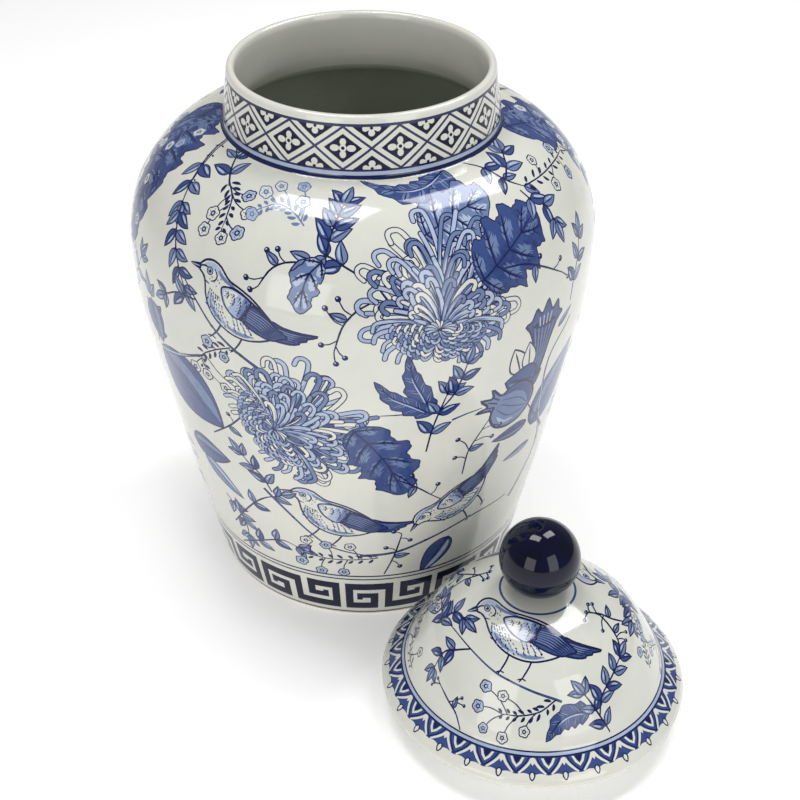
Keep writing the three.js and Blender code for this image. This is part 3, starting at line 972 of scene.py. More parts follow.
def paint(form, items, lo, hi, segments, step):
    """Cuts the painted side of a turned form along every mark. Returns chart points, triangles and classes."""
    W = math.pi * form.R0
    all_items = []
    for poly, c in items:
        poly = poly.copy()
        poly[:, 1] = np.clip(poly[:, 1], lo + 0.05, hi - 0.05)
        poly = split_long(poly, 4.0 * form.R0 / 110.0)
        all_items.append((poly, c))
        if poly[:, 0].min() < -W:
            all_items.append((poly + (2 * W, 0), c))
        if poly[:, 0].max() > W:
            all_items.append((poly - (2 * W, 0), c))
    gx = np.linspace(-W, W, segments + 1)
    V, E = [], []

    def loop(p, closed=True):
        i = len(V)
        V.extend(map(tuple, p))
        n = len(p)
        E.extend((i + k, i + k + 1) for k in range(n - 1))
        if closed:
            E.append((i + n - 1, i))

    loop([(-W, lo), (W, lo), (W, hi), (-W, hi)])
    for poly, c in all_items:
        if poly[:, 0].min() < W and poly[:, 0].max() > -W:
            loop(poly)
    P, T = triangulate(V, E)
    mid = P[T].mean(1)
    T = T[(np.abs(mid[:, 0]) < W) & (mid[:, 1] > lo) & (mid[:, 1] < hi)]
    mid = P[T].mean(1)
    cls = colours(all_items, mid)
    seen = outlines(T, cls, len(P))
    edge = (np.abs(np.abs(P[:, 0]) - W) < 1e-3) | (P[:, 1] < lo + 1e-3) | (P[:, 1] > hi - 1e-3)
    seen = thin(P, seen, edge, 6.0 * form.R0 / 110.0)
    used = np.unique(seen)
    back = np.full(len(P), -1)
    back[used] = np.arange(len(used))
    Q = P[used]
    # the two sides of the joint get the same points
    js = Q[np.abs(np.abs(Q[:, 0]) - W) < 1e-3, 1]
    js = np.unique(np.round(np.concatenate([js, np.arange(lo, hi, step), [lo, hi]]), 3))
    js = js[np.concatenate([[True], np.diff(js) > 0.02])]
    V = [tuple(q) for q in Q]
    E = [tuple(e) for e in back[seen]]
    rail = []
    for x in (-W, W):
        i = len(V)
        V.extend((x, s) for s in js)
        E.extend((i + k, i + k + 1) for k in range(len(js) - 1))
    for s in (lo, hi):
        i = len(V)
        V.extend((x, s) for x in gx)
        E.extend((i + k, i + k + 1) for k in range(len(gx) - 1))
    rows = np.linspace(lo, hi, max(2, int(round((hi - lo) / step)) + 1))[1:-1]
    near = {}
    for x, s in Q:
        near.setdefault((int(x // 1.5), int(s // 1.5)), []).append((x, s))
    for k, s in enumerate(rows):
        for x in gx[1:-1]:
            a, b = int(x // 1.5), int(s // 1.5)
            if not any(
                (p[0] - x) ** 2 + (p[1] - s) ** 2 < 0.8
                for i in (a - 1, a, a + 1)
                for j in (b - 1, b, b + 1)
                for p in near.get((i, j), ())
            ):
                V.append((x, s))
    P, T = triangulate(V, E)
    mid = P[T].mean(1)
    T = T[(np.abs(mid[:, 0]) < W) & (mid[:, 1] > lo) & (mid[:, 1] < hi)]
    a, b, c = P[T[:, 0]], P[T[:, 1]], P[T[:, 2]]
    cr = (b[:, 0] - a[:, 0]) * (c[:, 1] - a[:, 1]) - (b[:, 1] - a[:, 1]) * (c[:, 0] - a[:, 0])
    T = np.where((cr < 0)[:, None], T[:, ::-1], T)[np.abs(cr) > 1e-7]
    cls = colours(all_items, P[T].mean(1))
    return P, T, cls


CELLS = 3


def turned_mesh(name, form, items, lo, hi, segments, step, centre, materials, extra_rows, painted_shade_from=None, bare=None):
    """The whole piece: the painted side, then the plain rings that close it. bare is a ring, from one
    radius to another and below a height, that is wiped free of glaze."""
    P, T, cls = paint(form, items, lo, hi, segments, step)
    W = math.pi * form.R0
    gx = np.linspace(-W, W, segments + 1)
    top, bottom = extra_rows
    chart = [P]
    faces3, faces_cls = [T], [cls]
    # index of the border points
    def ring_of(s):
        out = []
        for x in gx:
            d = (P[:, 0] - x) ** 2 + (P[:, 1] - s) ** 2
            out.append(int(np.argmin(d)))
        return np.array(out)

    n0 = len(P)
    quads, quad_cls = [], []
    rows_pts = []
    count = n0
    for start, rows, sign in ((hi, top, 1), (lo, bottom, -1)):
        prev = ring_of(start)
        last = start
        for s in rows:
            cur = np.arange(count, count + segments + 1)
            rows_pts.append(np.stack([gx, np.full(segments + 1, s)], 1))
            count += segments + 1
            mid_r, mid_z = (float(v[0]) for v in form.rz(np.array([0.5 * (last + s)])))
            # rings past painted_shade_from, inside the cavity, get class 6: the darker inner glaze that is painted
            # shade
            ring_cls = 6 if painted_shade_from is not None and s > painted_shade_from else 0
            if bare and bare[0] < mid_r < bare[1] and mid_z < bare[2]:
                ring_cls = 7
            last = s
            for i in range(segments):
                q = (prev[i], prev[i + 1], cur[i + 1], cur[i])
                quads.append(q if sign > 0 else q[::-1])
                quad_cls.append(ring_cls)
            prev = cur
    P = np.vstack([P] + rows_pts)
    quads = np.array(quads)
    th = P[:, 0] / form.R0 - math.pi / 2
    r, z = form.rz(P[:, 1])
    nr, nz = form.normal(P[:, 1])
    co = np.stack([centre[0] + r * np.cos(th), centre[1] + r * np.sin(th), z], 1) * 0.001
    nrm = np.stack([nr * np.cos(th), nr * np.sin(th), nz], 1)
    # join the two sides of the seam
    left = np.where(np.abs(P[:, 0] + W) < 1e-3)[0]
    right = np.where(np.abs(P[:, 0] - W) < 1e-3)[0]
    right = right[np.argsort(P[right, 1])]
    rs = P[right, 1]
    target = np.arange(len(P))
    for v in left:
        k = np.searchsorted(rs, P[v, 1])
        for kk in (k - 1, k):
            if 0 <= kk < len(rs) and abs(rs[kk] - P[v, 1]) < 2e-3:
                target[v] = right[kk]
    tri, quad = target[T], target[quads]
    ok = (tri[:, 0] != tri[:, 1]) & (tri[:, 1] != tri[:, 2]) & (tri[:, 2] != tri[:, 0])
    tri, T, cls = tri[ok], T[ok], cls[ok]
    loops = np.concatenate([tri.ravel(), quad.ravel()])
    chart_loops = np.concatenate([T.ravel(), quads.ravel()])
    starts = np.concatenate([np.arange(len(tri)) * 3, len(tri) * 3 + np.arange(len(quad)) * 4])
    totals = np.concatenate([np.full(len(tri), 3), np.full(len(quad), 4)])
    face_cls = np.concatenate([cls, np.array(quad_cls)])
    used = np.unique(loops)
    back = np.full(len(P), -1)
    back[used] = np.arange(len(used))
    loops = back[loops]
    me = bpy.data.meshes.new(name)
    me.vertices.add(len(used))
    me.vertices.foreach_set("co", co[used].astype(np.float32).ravel())
    me.loops.add(len(loops))
    me.loops.foreach_set("vertex_index", loops.astype(np.int32))
    me.polygons.add(len(starts))
    me.polygons.foreach_set("loop_start", starts.astype(np.int32))
    me.polygons.foreach_set("loop_total", totals.astype(np.int32))
    me.polygons.foreach_set("material_index", face_cls.astype(np.int32))
    me.update(calc_edges=True)
    uv = me.uv_layers.new(name="OFBake")
    smin, smax = float(P[:, 1].min()), float(P[:, 1].max())
    u = (P[chart_loops, 0] / (2 * W) + 0.5) * 0.94 + 0.03
    v = (P[chart_loops, 1] - smin) / (smax - smin) * 0.94 + 0.03
    fc = np.repeat(face_cls, totals)
    uvs = np.stack([(u + fc % CELLS) / CELLS, (v + fc // CELLS) / CELLS], 1)
    uv.data.foreach_set("uv", uvs.astype(np.float32).ravel())
    for m in materials:
        me.materials.append(m)
    for p in (me.polygons,):
        p.foreach_set("use_smooth", np.ones(len(starts), bool))
    me.normals_split_custom_set_from_vertices([tuple(k) for k in nrm[used]])
    me.update()
    ob = bpy.data.objects.new(name, me)
    bpy.context.scene.collection.objects.link(ob)
    print("PIECE", name, "faces", len(starts), "unmatched", int((target[left] == left).sum()))
    return ob
# ---------------------------------------------------------------------------
# Glazes
# ---------------------------------------------------------------------------
def lin(r, g, b):
    def f(v):
        v /= 255.0
        return v / 12.92 if v <= 0.04045 else ((v + 0.055) / 1.055) ** 2.4

    return (f(r), f(g), f(b), 1.0)


def glaze(name, base, other, amount=0.5, big=9.0, fine=70.0, rough=(0.06, 0.11), ior=1.5, bump=0.012, pool=0.0, level=0.5):
    """A glossy fired glaze. base and other are the colours it drifts between; pool adds the
    brushy light and dark of cobalt wash."""
    m = bpy.data.materials.new(name)
    m.use_nodes = True
    nt = m.node_tree
    nt.nodes.clear()
    N = nt.nodes.new
    out, bs = N("ShaderNodeOutputMaterial"), N("ShaderNodeBsdfPrincipled")
    nt.links.new(bs.outputs[0], out.inputs[0])
    tc = N("ShaderNodeTexCoord")

    def noise(scale, detail, dist=0.0, rough_=0.55):
        n = N("ShaderNodeTexNoise")
        n.inputs["Scale"].default_value = scale
        n.inputs["Detail"].default_value = detail
        n.inputs["Roughness"].default_value = rough_
        n.inputs["Distortion"].default_value = dist
        nt.links.new(tc.outputs["Object"], n.inputs["Vector"])
        return n

    n1, n2 = noise(big, 3.0, 0.4), noise(fine, 4.0, 0.8, 0.6)
    mixf = N("ShaderNodeMath")
    mixf.operation = "MULTIPLY_ADD"
    nt.links.new(n2.outputs[0], mixf.inputs[0])
    mixf.inputs[1].default_value = 0.45 + pool
    nt.links.new(n1.outputs[0], mixf.inputs[2])
    ramp = N("ShaderNodeValToRGB")
    ramp.color_ramp.interpolation = "EASE"
    lo, hi = 0.62 - 0.28 * amount + 0.1 * pool, 0.80 + 0.28 * (1 - amount) + 0.2 * pool
    ramp.color_ramp.elements[0].position = min(0.95, lo)
    ramp.color_ramp.elements[0].color = base
    ramp.color_ramp.elements[1].position = min(1.0, hi)
    ramp.color_ramp.elements[1].color = other
    nt.links.new(mixf.outputs[0], ramp.inputs[0])
    nt.links.new(ramp.outputs[0], bs.inputs["Base Color"])
    rr = N("ShaderNodeMapRange")
    rr.inputs["From Min"].default_value = 0.3
    rr.inputs["From Max"].default_value = 0.7
    rr.inputs["To Min"].default_value = rough[0]
    rr.inputs["To Max"].default_value = rough[1]
    nt.links.new(n2.outputs[0], rr.inputs["Value"])
    nt.links.new(rr.outputs[0], bs.inputs["Roughness"])
    n3 = noise(22.0, 2.0)
    bp = N("ShaderNodeBump")
    bp.inputs["Strength"].default_value = bump * 10
    bp.inputs["Distance"].default_value = 0.0006
    nt.links.new(n3.outputs[0], bp.inputs["Height"])
    nt.links.new(bp.outputs[0], bs.inputs["Normal"])
    bs.inputs["IOR"].default_value = ior
    bs.inputs["Specular IOR Level"].default_value = level
    return m


IVORY = glaze("ivory_glaze", lin(214, 213, 203), lin(205, 207, 198), 0.5)
WASH_PALE = glaze("cobalt_pale_wash", lin(134, 152, 186), lin(166, 179, 203), 0.8, 30.0, 260.0, pool=0.25)
WASH_MID = glaze("cobalt_mid_wash", lin(72, 92, 138), lin(104, 122, 160), 0.8, 30.0, 300.0, pool=0.25)
COBALT = glaze("cobalt_strong", lin(17, 30, 84), lin(54, 73, 126), 0.85, 30.0, 300.0, pool=0.3)
INK = glaze("cobalt_line", lin(10, 16, 58), lin(22, 32, 80), 0.7, 26.0, 260.0)
DEEP = glaze("cobalt_border", lin(6, 8, 36), lin(14, 18, 54), 0.7, 24.0, 260.0, level=0.22)
# painted shade: the inside below the neck gets this glaze, darker and greener than the ivory, standing for the shade in
# the cavity
SHADED_INNER = glaze("inner_glaze_painted_shade", lin(196, 200, 188), lin(184, 189, 176), 0.7, 12.0, 90.0, rough=(0.16, 0.26))
BISCUIT = glaze("biscuit", lin(214, 208, 194), lin(196, 188, 172), 0.8, 30.0, 600.0, rough=(0.62, 0.78), bump=0.05)
KNOB = glaze("knob_cobalt", lin(5, 6, 26), lin(10, 12, 42), 0.6, 30.0, 150.0, rough=(0.03, 0.07), ior=1.52, level=0.28)
CLASSES = [IVORY, WASH_PALE, WASH_MID, COBALT, INK, DEEP, SHADED_INNER, BISCUIT]
# ---------------------------------------------------------------------------
# Where each motif stands: angle round the axis (front -90) and millimetres along the outline.
# The pattern repeats on the far side.
# ---------------------------------------------------------------------------
def jar_art():
    out = []

    def go(art, deg, s, turn=0.0, size=1.0, flip=False):
        place(out, JAR, art, deg, s, turn, size, flip, copies=(180, 0))

    go(lobed_leaf([(0.0, 0.0), (15.4, -13.2), (36.4, -30.3), (61.6, -53.7)], 44, 5, seed=3), 167.99, 300.5)
    go(frond([(0.0, 0.0), (8.8, -14.5), (16.5, -28.0)], 4, 4.0), -157.65, 301.2)
    go(leaf_spray([(0.0, 0.0), (9.3, -14.1), (18.5, -28.6), (25.8, -41.1)], pairs(3, 0.45, 0.95), size=11), -159.12, 301.5)
    go(leaf_spray([(0.0, 0.0), (5.7, -12.2), (14.6, -26.1), (24.0, -38.6)], pairs(5, 0.06, 0.9, 44), size=10), -145.57, 260.3)
    go(leaf_spray([(0.0, 0.0), (-7.0, 8.1), (-14.4, 19.3)], pairs(2, 0.3, 0.8, 52), size=11), -134.51, 280.5)
    go(blossom_spray([(0.0, 0.0), (9.6, -8.0), (13.7, -18.5), (14.5, -23.8)], [(0.35, (5.0, -18.9)), (0.55, (4.6, -27.8)), (0.8, (23.9, -23.6)), (1, (16.7, -28.5)), (0.2, (23.2, -12.6)), (0.15, (17.1, -3.9))], seed=4), -136.26, 283.4)
    go(blossom_spray([(0.0, 0.0), (-7.1, 6.5), (-15.8, 9.2), (-23.5, 5.0)], [(0.4, (-17.2, 19.7)), (0.7, (-24.1, 14.1)), (0.2, (-3.7, 12.9)), (0.1, (-5.8, 22.3)), (1, (-28.0, 0.6))], seed=5, faint=True), -106.07, 270.4)
    go(berry_sprig([(0.0, 0.0), (-8.8, -1.7), (-15.4, -6.1), (-20.9, -15.1)], [(0.45, (-18.4, 2.8)), (0.3, (-12.9, 4.3)), (0.8, (-27.7, -12.2)), (1, (-25.1, -17.5))]), -104.87, 252.9)
    go(bird(), -117.27, 223.2, -2.7, 1.225)
    go(branch([(0.0, 0.0), (-12.2, 6.7), (-24.4, 13.8), (-34.9, 22.1), (-44.7, 33.3), (-54.1, 42.4)], 2.2, (0.3, 0.6)), -110.89, 186.8)
    go(leaf_spray([(0.0, 0.0), (-7.3, -0.6), (-15.3, -1.7), (-27.2, -8.4)], pairs(2, 0.3, 0.85), size=10), -131.27, 220.2)
    go(leaf_spray([(0.0, 0.0), (4.3, 14.3), (1.6, 24.7), (0.1, 31.8)], pairs(3, 0.2, 0.9), size=11), -151.7, 173.3)
    go(blossom_spray([(0.0, 0.0), (-10.8, -5.3), (-20.3, -13.1), (-17.8, -22.5)], [(0.3, (-15.0, -1.5)), (0.2, (-4.6, -7.3)), (1, (-18.1, -24.0)), (0.8, (-6.7, -28.5)), (0.6, (3.1, -26.5)), (0.75, (-26.9, -22.9))], seed=6), -122.08, 199.4)
    go(leaf(40, 33, BLUE, light=MID, fat=0.6), -149.97, 172.9, -40.1, 1.356)
    go(leaf(24, 19, BLUE, light=MID), -151.87, 200.0, -73.9, 1.048)
    go(leaf(22, 12, BLUE, light=MID), -147.51, 109.9, 2.2, 1.479)
    go(leaf(28, 10, MID, light=PALE), -143.30, 101.6, -36.6, 1.140)
    go(branch([(0.0, 0.0), (21.4, 6.8), (44.9, 17.5)], 3.0, fill=PALE), -150.5, 170.8)
    go(berry_sprig([(0.0, 0.0), (17.4, 15.0), (29.5, 28.8)], [(0.6, (16.3, 21.7)), (1, (35.1, 38.0)), (0.9, (35.7, 29.8))]), -134.42, 129.4)
    go(leaf_spray([(0.0, 0.0), (6.1, -7.6), (10.9, -18.0), (10.1, -30.6)], pairs(3, 0.15, 0.9), size=10), -138.08, 77.7)
    go(leaf_spray([(0.0, 0.0), (-4.4, 11.0), (-11.0, 17.5), (-16.3, 24.3)], pairs(3, 0.2, 0.9), size=10), -117.45, 99.3)
    go(leaf_spray([(0.0, 0.0), (-9.4, 5.6), (-18.9, 10.7), (-26.6, 7.2)], pairs(3, 0.4, 0.95, 50), size=11), -89.5, 246.1)
    go(leaf_spray([(0.0, 0.0), (1.0, 8.9), (2.9, 17.2), (5.3, 27.5)], pairs(4, 0.25, 0.95, 46), size=11), -99.18, 256.8)
    go(lobed_leaf([(0.0, 0.0), (-6.1, -7.1), (-8.6, -16.1), (-9.3, -26.1)], 17, 3, fill=MID, shade=PALE), -100.02, 253.9)
    go(berry_sprig([(0.0, 0.0), (-8.2, -4.8), (-15.0, -13.0), (-19.2, -26.7)], [(0.35, (-16.6, 1.3)), (0.55, (-23.0, -3.5)), (0.8, (-25.4, -23.1)), (1, (-18.3, -33.8)), (0.9, (-13.9, -30.0))]), -88.01, 235.4)
    go(serrated_leaf([(0.0, 0.0), (-15.9, -9.2), (-31.2, -9.1), (-42.9, -0.2)], 26, 7, one_side=0.5), -57.99, 301.0)
    go(lobed_leaf([(0.0, 0.0), (11.5, 5.1), (23.8, 9.7), (39.2, 11.6)], 38, 4, fill=MID, shade=PALE), -74.22, 264.8)
    go(chrysanthemum(R=40, seed=11, tone=0.6), -72.95, 217.8, -8.8, 0.913)
    go(lobed_leaf([(0.0, 0.0), (12.0, 6.7), (26.3, 14.2), (43.6, 23.1)], 44, 4), -62.05, 237.2)
    go(berry_sprig([(0.0, 0.0), (12.1, -2.0), (24.2, -7.5), (39.9, -17.1)], [(0.5, (23.9, -2.2)), (0.8, (39.5, -9.5)), (1, (45.8, -22.1))]), -55.3, 240.2)
    go(leaf_spray([(0.0, 0.0), (6.9, -10.1), (12.1, -21.3), (20.0, -28.9)], pairs(2, 0.3, 0.6, 50), size=10), -48.66, 301.0)
    go(leaf_spray([(0.0, 0.0), (9.0, 7.1), (16.1, 14.3)], pairs(2, 0.35, 0.85), size=12), -41.31, 279.8)
    go(leaf_spray([(0.0, 0.0), (2.8, -7.5), (9.8, -14.1), (11.1, -23.5)], pairs(3, 0.2, 0.9), size=11), -39.69, 271.6)
    go(blossom_spray([(0.0, 0.0), (15.4, -1.4), (32.3, -2.6), (52.8, -4.7)], [(0.3, (20.2, 7.1)), (0.6, (23.1, -10.4)), (0.8, (42.7, -13.1)), (1, (64.4, -9.7)), (0.9, (42.0, 2.7))], seed=7), -37.28, 272.2)
    go(blossom_spray([(0.0, 0.0), (-2.6, -11.3), (-2.3, -20.5), (-2.4, -31.3)], [(0.3, (10.0, -11.3)), (0.6, (12.3, -22.6)), (1, (-3.5, -34.2)), (0.9, (7.2, -29.2))], seed=8, faint=True), 2.19, 300.7)
    go(leaf_spray([(0.0, 0.0), (1.7, 13.7), (7.6, 24.6), (12.2, 33.6)], pairs(3, 0.3, 0.9), size=10), -31.87, 200.7)
    go(leaf(34, 19, BLUE, light=MID), -37.99, 123.5, 61.6, 1.590)
    go(leaf(20, 6, MID), -36.71, 190.2, 28.0, 0.728)
    go(trumpet(), -44.04, 160.0, -3.5, 1.412)
    go(leaf(12, 8, WHITE, light=WHITE), -49.86, 174.9, 110.3, 1.519)
    go(leaf(14, 8, WHITE, light=WHITE), -47.05, 174.6, 96.0, 1.273)
    go(leaf(16, 13, BLUE, light=MID), -43.57, 165.1, 163.4, 1.515)
    go(branch([(0.0, 0.0), (7.7, 12.4), (14.9, 28.0), (13.8, 42.8), (4.1, 71.9), (0.6, 105.0), (17.8, 122.8)], 3.0, (0.3, 0.5), fill=PALE), -38.67, 67.6)
    go(bud(), -43.20, 145.5, 63.4, 1.543)
    go(branch([(0.0, 0.0), (-15.3, 17.6), (-26.1, 31.3)], 2.0), -30.39, 113.4)
    go(branch([(0.0, 0.0), (7.8, 1.7), (17.3, 2.3)], 1.4), -68.52, 157.7)
    go(leaf(26, 9, BLUE, light=MID), -41.64, 130.4, -178.0, 1.006)
    go(leaf(24, 6, MID, light=PALE), -36.69, 109.7, -173.9, 0.912)
    go(leaf(34, 9, BLUE, light=MID), -56.29, 98.2, 72.0, 0.849)
    go(serrated_leaf([(0.0, 0.0), (-5.0, 12.3), (-10.7, 24.9), (-14.1, 40.0)], 17, 5, one_side=0.7), -73.98, 165.2)
    go(serrated_leaf([(0.0, 0.0), (-10.9, 7.9), (-21.4, 14.7), (-30.5, 25.6)], 15, 5, one_side=0.7), -73.98, 165.2)
    go(leaf_spray([(0.0, 0.0), (2.1, 15.8), (5.4, 29.4), (8.9, 41.0)], pairs(3, 0.3, 0.95, 48), size=11), -74.57, 137.6)
    go(leaf_spray([(0.0, 0.0), (6.8, 9.2), (10.5, 18.7), (13.3, 27.9)], pairs(3, 0.35, 0.95, 46), size=10), -72.04, 167.0)
    go(branch([(0.0, 0.0), (-14.9, 1.9), (-31.1, 2.4)], 1.5), -71.99, 165.6)
    go(berry_sprig([(0.0, 0.0), (1.2, 16.7), (5.9, 26.9), (11.9, 37.5)], [(0.3, (-6.4, 15.1)), (0.6, (15.7, 22.1)), (0.8, (20.0, 29.0)), (1, (12.3, 43.1)), (0.45, (-6.4, 28.8))]), -62.87, 112.4)
    go(chrysanthemum(R=40, seed=23, tone=0.35), -113.08, 150.7, -62.8, 0.944)
    go(lobed_leaf([(0.0, 0.0), (8.9, -11.7), (18.0, -27.7), (26.4, -51.5)], 36, 4), -93.21, 158.1)
    go(berry_sprig([(0.0, 0.0), (9.9, -6.7), (21.7, -18.3)], [(0.5, (8.5, 1.6)), (0.9, (23.5, -9.0)), (1, (27.9, -24.0))]), -82.04, 118.8)
    go(bird(), -95.84, 88.7, -2.5, 1.236)
    go(branch([(0.0, 0.0), (12.3, -14.7), (24.1, -29.7), (35.1, -39.6), (58.6, -46.8)], 2.0, (0.3, 0.6)), -119.97, 100.5)
    go(bird(), -61.97, 97.2, 61.3, 1.126)
    go(branch([(0.0, 0.0), (20.0, 1.9), (39.5, 9.1), (64.7, 16.8), (92.4, 17.8)], 2.2, (0.4,)), -92.13, 55.0)
    go(leaf(26, 13, BLUE), -63.58, 60.9, -116.5, 1.165)
    go(leaf_spray([(0.0, 0.0), (18.7, 23.7), (31.8, 36.9), (44.6, 43.9)], pairs(3, 0.2, 0.9), size=10), -137.69, 54.6)
    go(leaf_spray([(0.0, 0.0), (17.9, 11.6), (33.6, 19.8), (44.2, 17.2)], pairs(3, 0.35, 0.95), size=10), -136.81, 38.2)
    go(blossom_spray([(0.0, 0.0), (-14.4, -1.7), (-29.1, -2.1), (-41.9, -0.3)], [(0.25, (-15.5, 10.1)), (0.4, (-18.9, -13.5)), (0.6, (-28.9, 10.0)), (0.7, (-31.6, -14.1)), (1, (-43.3, -8.5)), (0.9, (-40.3, 11.4))], seed=9), -86.43, 52.8)
    go(berry_sprig([(0.0, 0.0), (4.2, 12.5), (7.2, 24.8), (9.1, 35.1)], [(0.35, (8.9, 5.9)), (0.6, (0.6, 24.1)), (0.9, (13.9, 28.7)), (1, (4.6, 37.8))]), -84.32, 37.4)
    go(leaf_spray([(0, 0), (7, -14), (6, -30), (-3, -46), (-6, -58)], pairs(5, 0.12, 0.92, 46), size=11), -6.0, 268.0)
    go(lobed_leaf([(0, 0), (12, -8), (24, -22), (30, -42)], 30, 4), 3.0, 262.0)
    go(blossom_spray([(0, 0), (-8, -10), (-12, -22), (-8, -36)], [(0.3, (-14, -6)), (0.55, (-22, -18)), (0.8, (-2, -24)), (1, (-12, -42)), (0.9, (2, -38))], seed=31), 17.5, 258.0)
    go(branch([(40, 16), (22, 2), (2, -7), (-20, -8), (-42, -2)], 2.4, (0.3, 0.6)), 0.0, 182.0)
    go(bird(seed=33), 3.0, 199.5, -4.0, 1.08)
    go(leaf_spray([(0, 0), (6, 12), (16, 20), (24, 32)], pairs(3, 0.25, 0.95, 46), size=10), 13.5, 190.0)
    go(leaf_spray([(0, 0), (-9, -6), (-14, -18), (-12, -32)], pairs(3, 0.2, 0.95, 46), size=10), -14.0, 178.0)
    go(berry_sprig([(0, 0), (8, -10), (12, -22), (10, -36)], [(0.4, (18, -10)), (0.6, (0, -22)), (0.85, (20, -30)), (1, (8, -42))]), 12.0, 176.0)
    go(lobed_leaf([(0, 0), (-16, 6), (-28, 4), (-42, -8)], 30, 4, fill=MID, shade=PALE), -4.0, 122.0)
    go(serrated_leaf([(0, 0), (12, 10), (22, 24), (26, 40)], 18, 6, one_side=0.7), 8.0, 118.0)
    go(chrysanthemum(R=31, seed=37, tone=0.5), 1.0, 112.0, 8.0, 0.95)
    go(branch([(0, 0), (4, -20), (0, -42), (-8, -62)], 2.2, (0.4,)), 1.0, 104.0)
    go(leaf_spray([(0, 0), (-10, 6), (-20, 6), (-30, -2)], pairs(3, 0.2, 0.95, 46), size=10), 0.5, 74.0)
    go(leaf_spray([(0, 0), (12, 6), (24, 10), (34, 6)], pairs(3, 0.2, 0.95, 46), size=10), 2.0, 62.0)
    go(blossom_spray([(0, 0), (14, -2), (26, 2), (38, 10)], [(0.3, (10, 8)), (0.5, (22, -8)), (0.75, (30, 12)), (1, (44, 12)), (0.9, (42, 0))], seed=41), 3.5, 88.0)
    go(berry_sprig([(0, 0), (-12, -4), (-22, -2), (-34, 6)], [(0.4, (-12, 6)), (0.6, (-22, -10)), (0.85, (-30, 10)), (1, (-38, 10))]), -1.0, 52.0)
    return out


def lid_art():
    out = []

    def go(art, deg, s, turn=0.0, size=1.0, flip=False):
        place_flat(out, LID, art, deg, s, turn, size, flip, copies=(180, 0))

    go(bird(flat=1.18), -97.00, 77.2, 1.4, 0.959)
    go(branch([(0.0, 0.0), (-13.1, 7.0), (-23.7, 15.4), (-30.3, 23.3), (-36.4, 36.0), (-42.4, 53.0)], 1.4, (0.4,)), -81.94, 42.4)
    go(leaf_spray([(0.0, 0.0), (-8.2, -0.8), (-15.1, -0.7), (-20.4, 1.5)], pairs(3, 0.2, 0.95, 46), size=9), -165.08, 57.8)
    go(leaf_spray([(0.0, 0.0), (-6.3, -4.7), (-12.7, -9.4), (-15.7, -19.7)], pairs(3, 0.3, 0.95, 46), size=8.5), -140.25, 57.5)
    go(berry_sprig([(0.0, 0.0), (-5.3, 7.1), (-13.0, 12.0), (-21.2, 18.2)], [(0.6, (-1.8, 13.0)), (0.5, (-4.4, 16.3)), (1, (-27.5, 16.6)), (0.95, (-23.7, 20.7))], r=1.2, leaf_len=6.5), -128.09, 17.5)
    go(blossom_spray([(0.0, 0.0), (-8.7, -5.3), (-19.5, -5.8), (-28.9, -3.0)], [(0.6, (-25.9, 5.7)), (0.9, (-33.1, 12.5)), (1, (-40.9, 4.3)), (0.95, (-41.7, -7.3)), (0.7, (-32.0, -15.1)), (0.4, (-18.7, -14.3))], seed=12, r=3.1), -84.94, 43.7)
    go(serrated_leaf([(0.0, 0.0), (-9.2, 1.7), (-17.7, 0.4), (-28.7, -6.5)], 15, 5, one_side=0.9), -68.4, 34.2)
    go(leaf_spray([(0.0, 0.0), (-4.3, 10.7), (-7.0, 18.4), (-9.5, 25.1)], pairs(3, 0.15, 0.95, 46), size=9), -60.24, 19.9)
    go(leaf_spray([(0.0, 0.0), (3.6, 9.5), (11.9, 17.5), (19.7, 25.8)], pairs(4, 0.2, 0.95, 46), size=9), -63.74, 30.4)
    go(berry_sprig([(0.0, 0.0), (4.1, 5.7), (5.4, 14.9), (5.2, 23.4)], [(0.35, (12.0, 5.5)), (0.3, (8.6, 2.6)), (0.9, (1.7, 27.1)), (1, (7.1, 27.5))], r=1.2, leaf_len=6.5), -38.97, 52.8)
    go(blossom_spray([(0.0, 0.0), (4.1, 7.6), (7.5, 14.4), (10.4, 21.5)], [(0.3, (-1.6, 12.4)), (0.6, (21.9, 4.5)), (1, (14.3, 24.1)), (0.8, (11.8, 17.9))], seed=13, r=2.6), -22.18, 30.7)
    go(leaf_spray([(0.0, 0.0), (0.6, 8.2), (2.9, 14.5), (8.8, 17.3)], pairs(3, 0.15, 0.9, 46), size=8.5), 6.04, 49.9)
    go(berry_sprig([(0.0, 0.0), (-3.1, 6.7), (-4.1, 13.5), (-5.9, 19.4)], [(0.6, (-11.8, 9.3)), (1, (-10.3, 19.6)), (0.95, (-1.9, 20.9))], r=1.2, leaf_len=6.5), 162.65, 60.2)
    go(blossom_spray([(0.0, 0.0), (-13.6, 2.9), (-21.9, 12.0), (-25.3, 21.2)], [(0.3, (-1.7, 10.3)), (0.6, (-33.8, 3.0)), (1, (-24.0, 27.2)), (0.8, (-28.3, 17.2))], seed=14, r=2.6), -168.15, 22.0)
    return out

# ---------------------------------------------------------------------------
# The pieces
# ---------------------------------------------------------------------------
def straight_rows(form, a, b, step):
    k = [v for v in form.s if min(a, b) + 0.2 < v < max(a, b) - 0.2 and (v > form.length + 1e-6 or v < -1e-6)]
    pts = sorted(set([round(float(v), 4) for v in k] + [round(float(b), 4)]), reverse=b < a)
    out, last = [], a
    for p in pts:
        n = max(1, int(math.ceil(abs(p - last) / step)))
        for i in range(1, n + 1):
            out.append(last + (p - last) * i / n)
        last = p
    return out


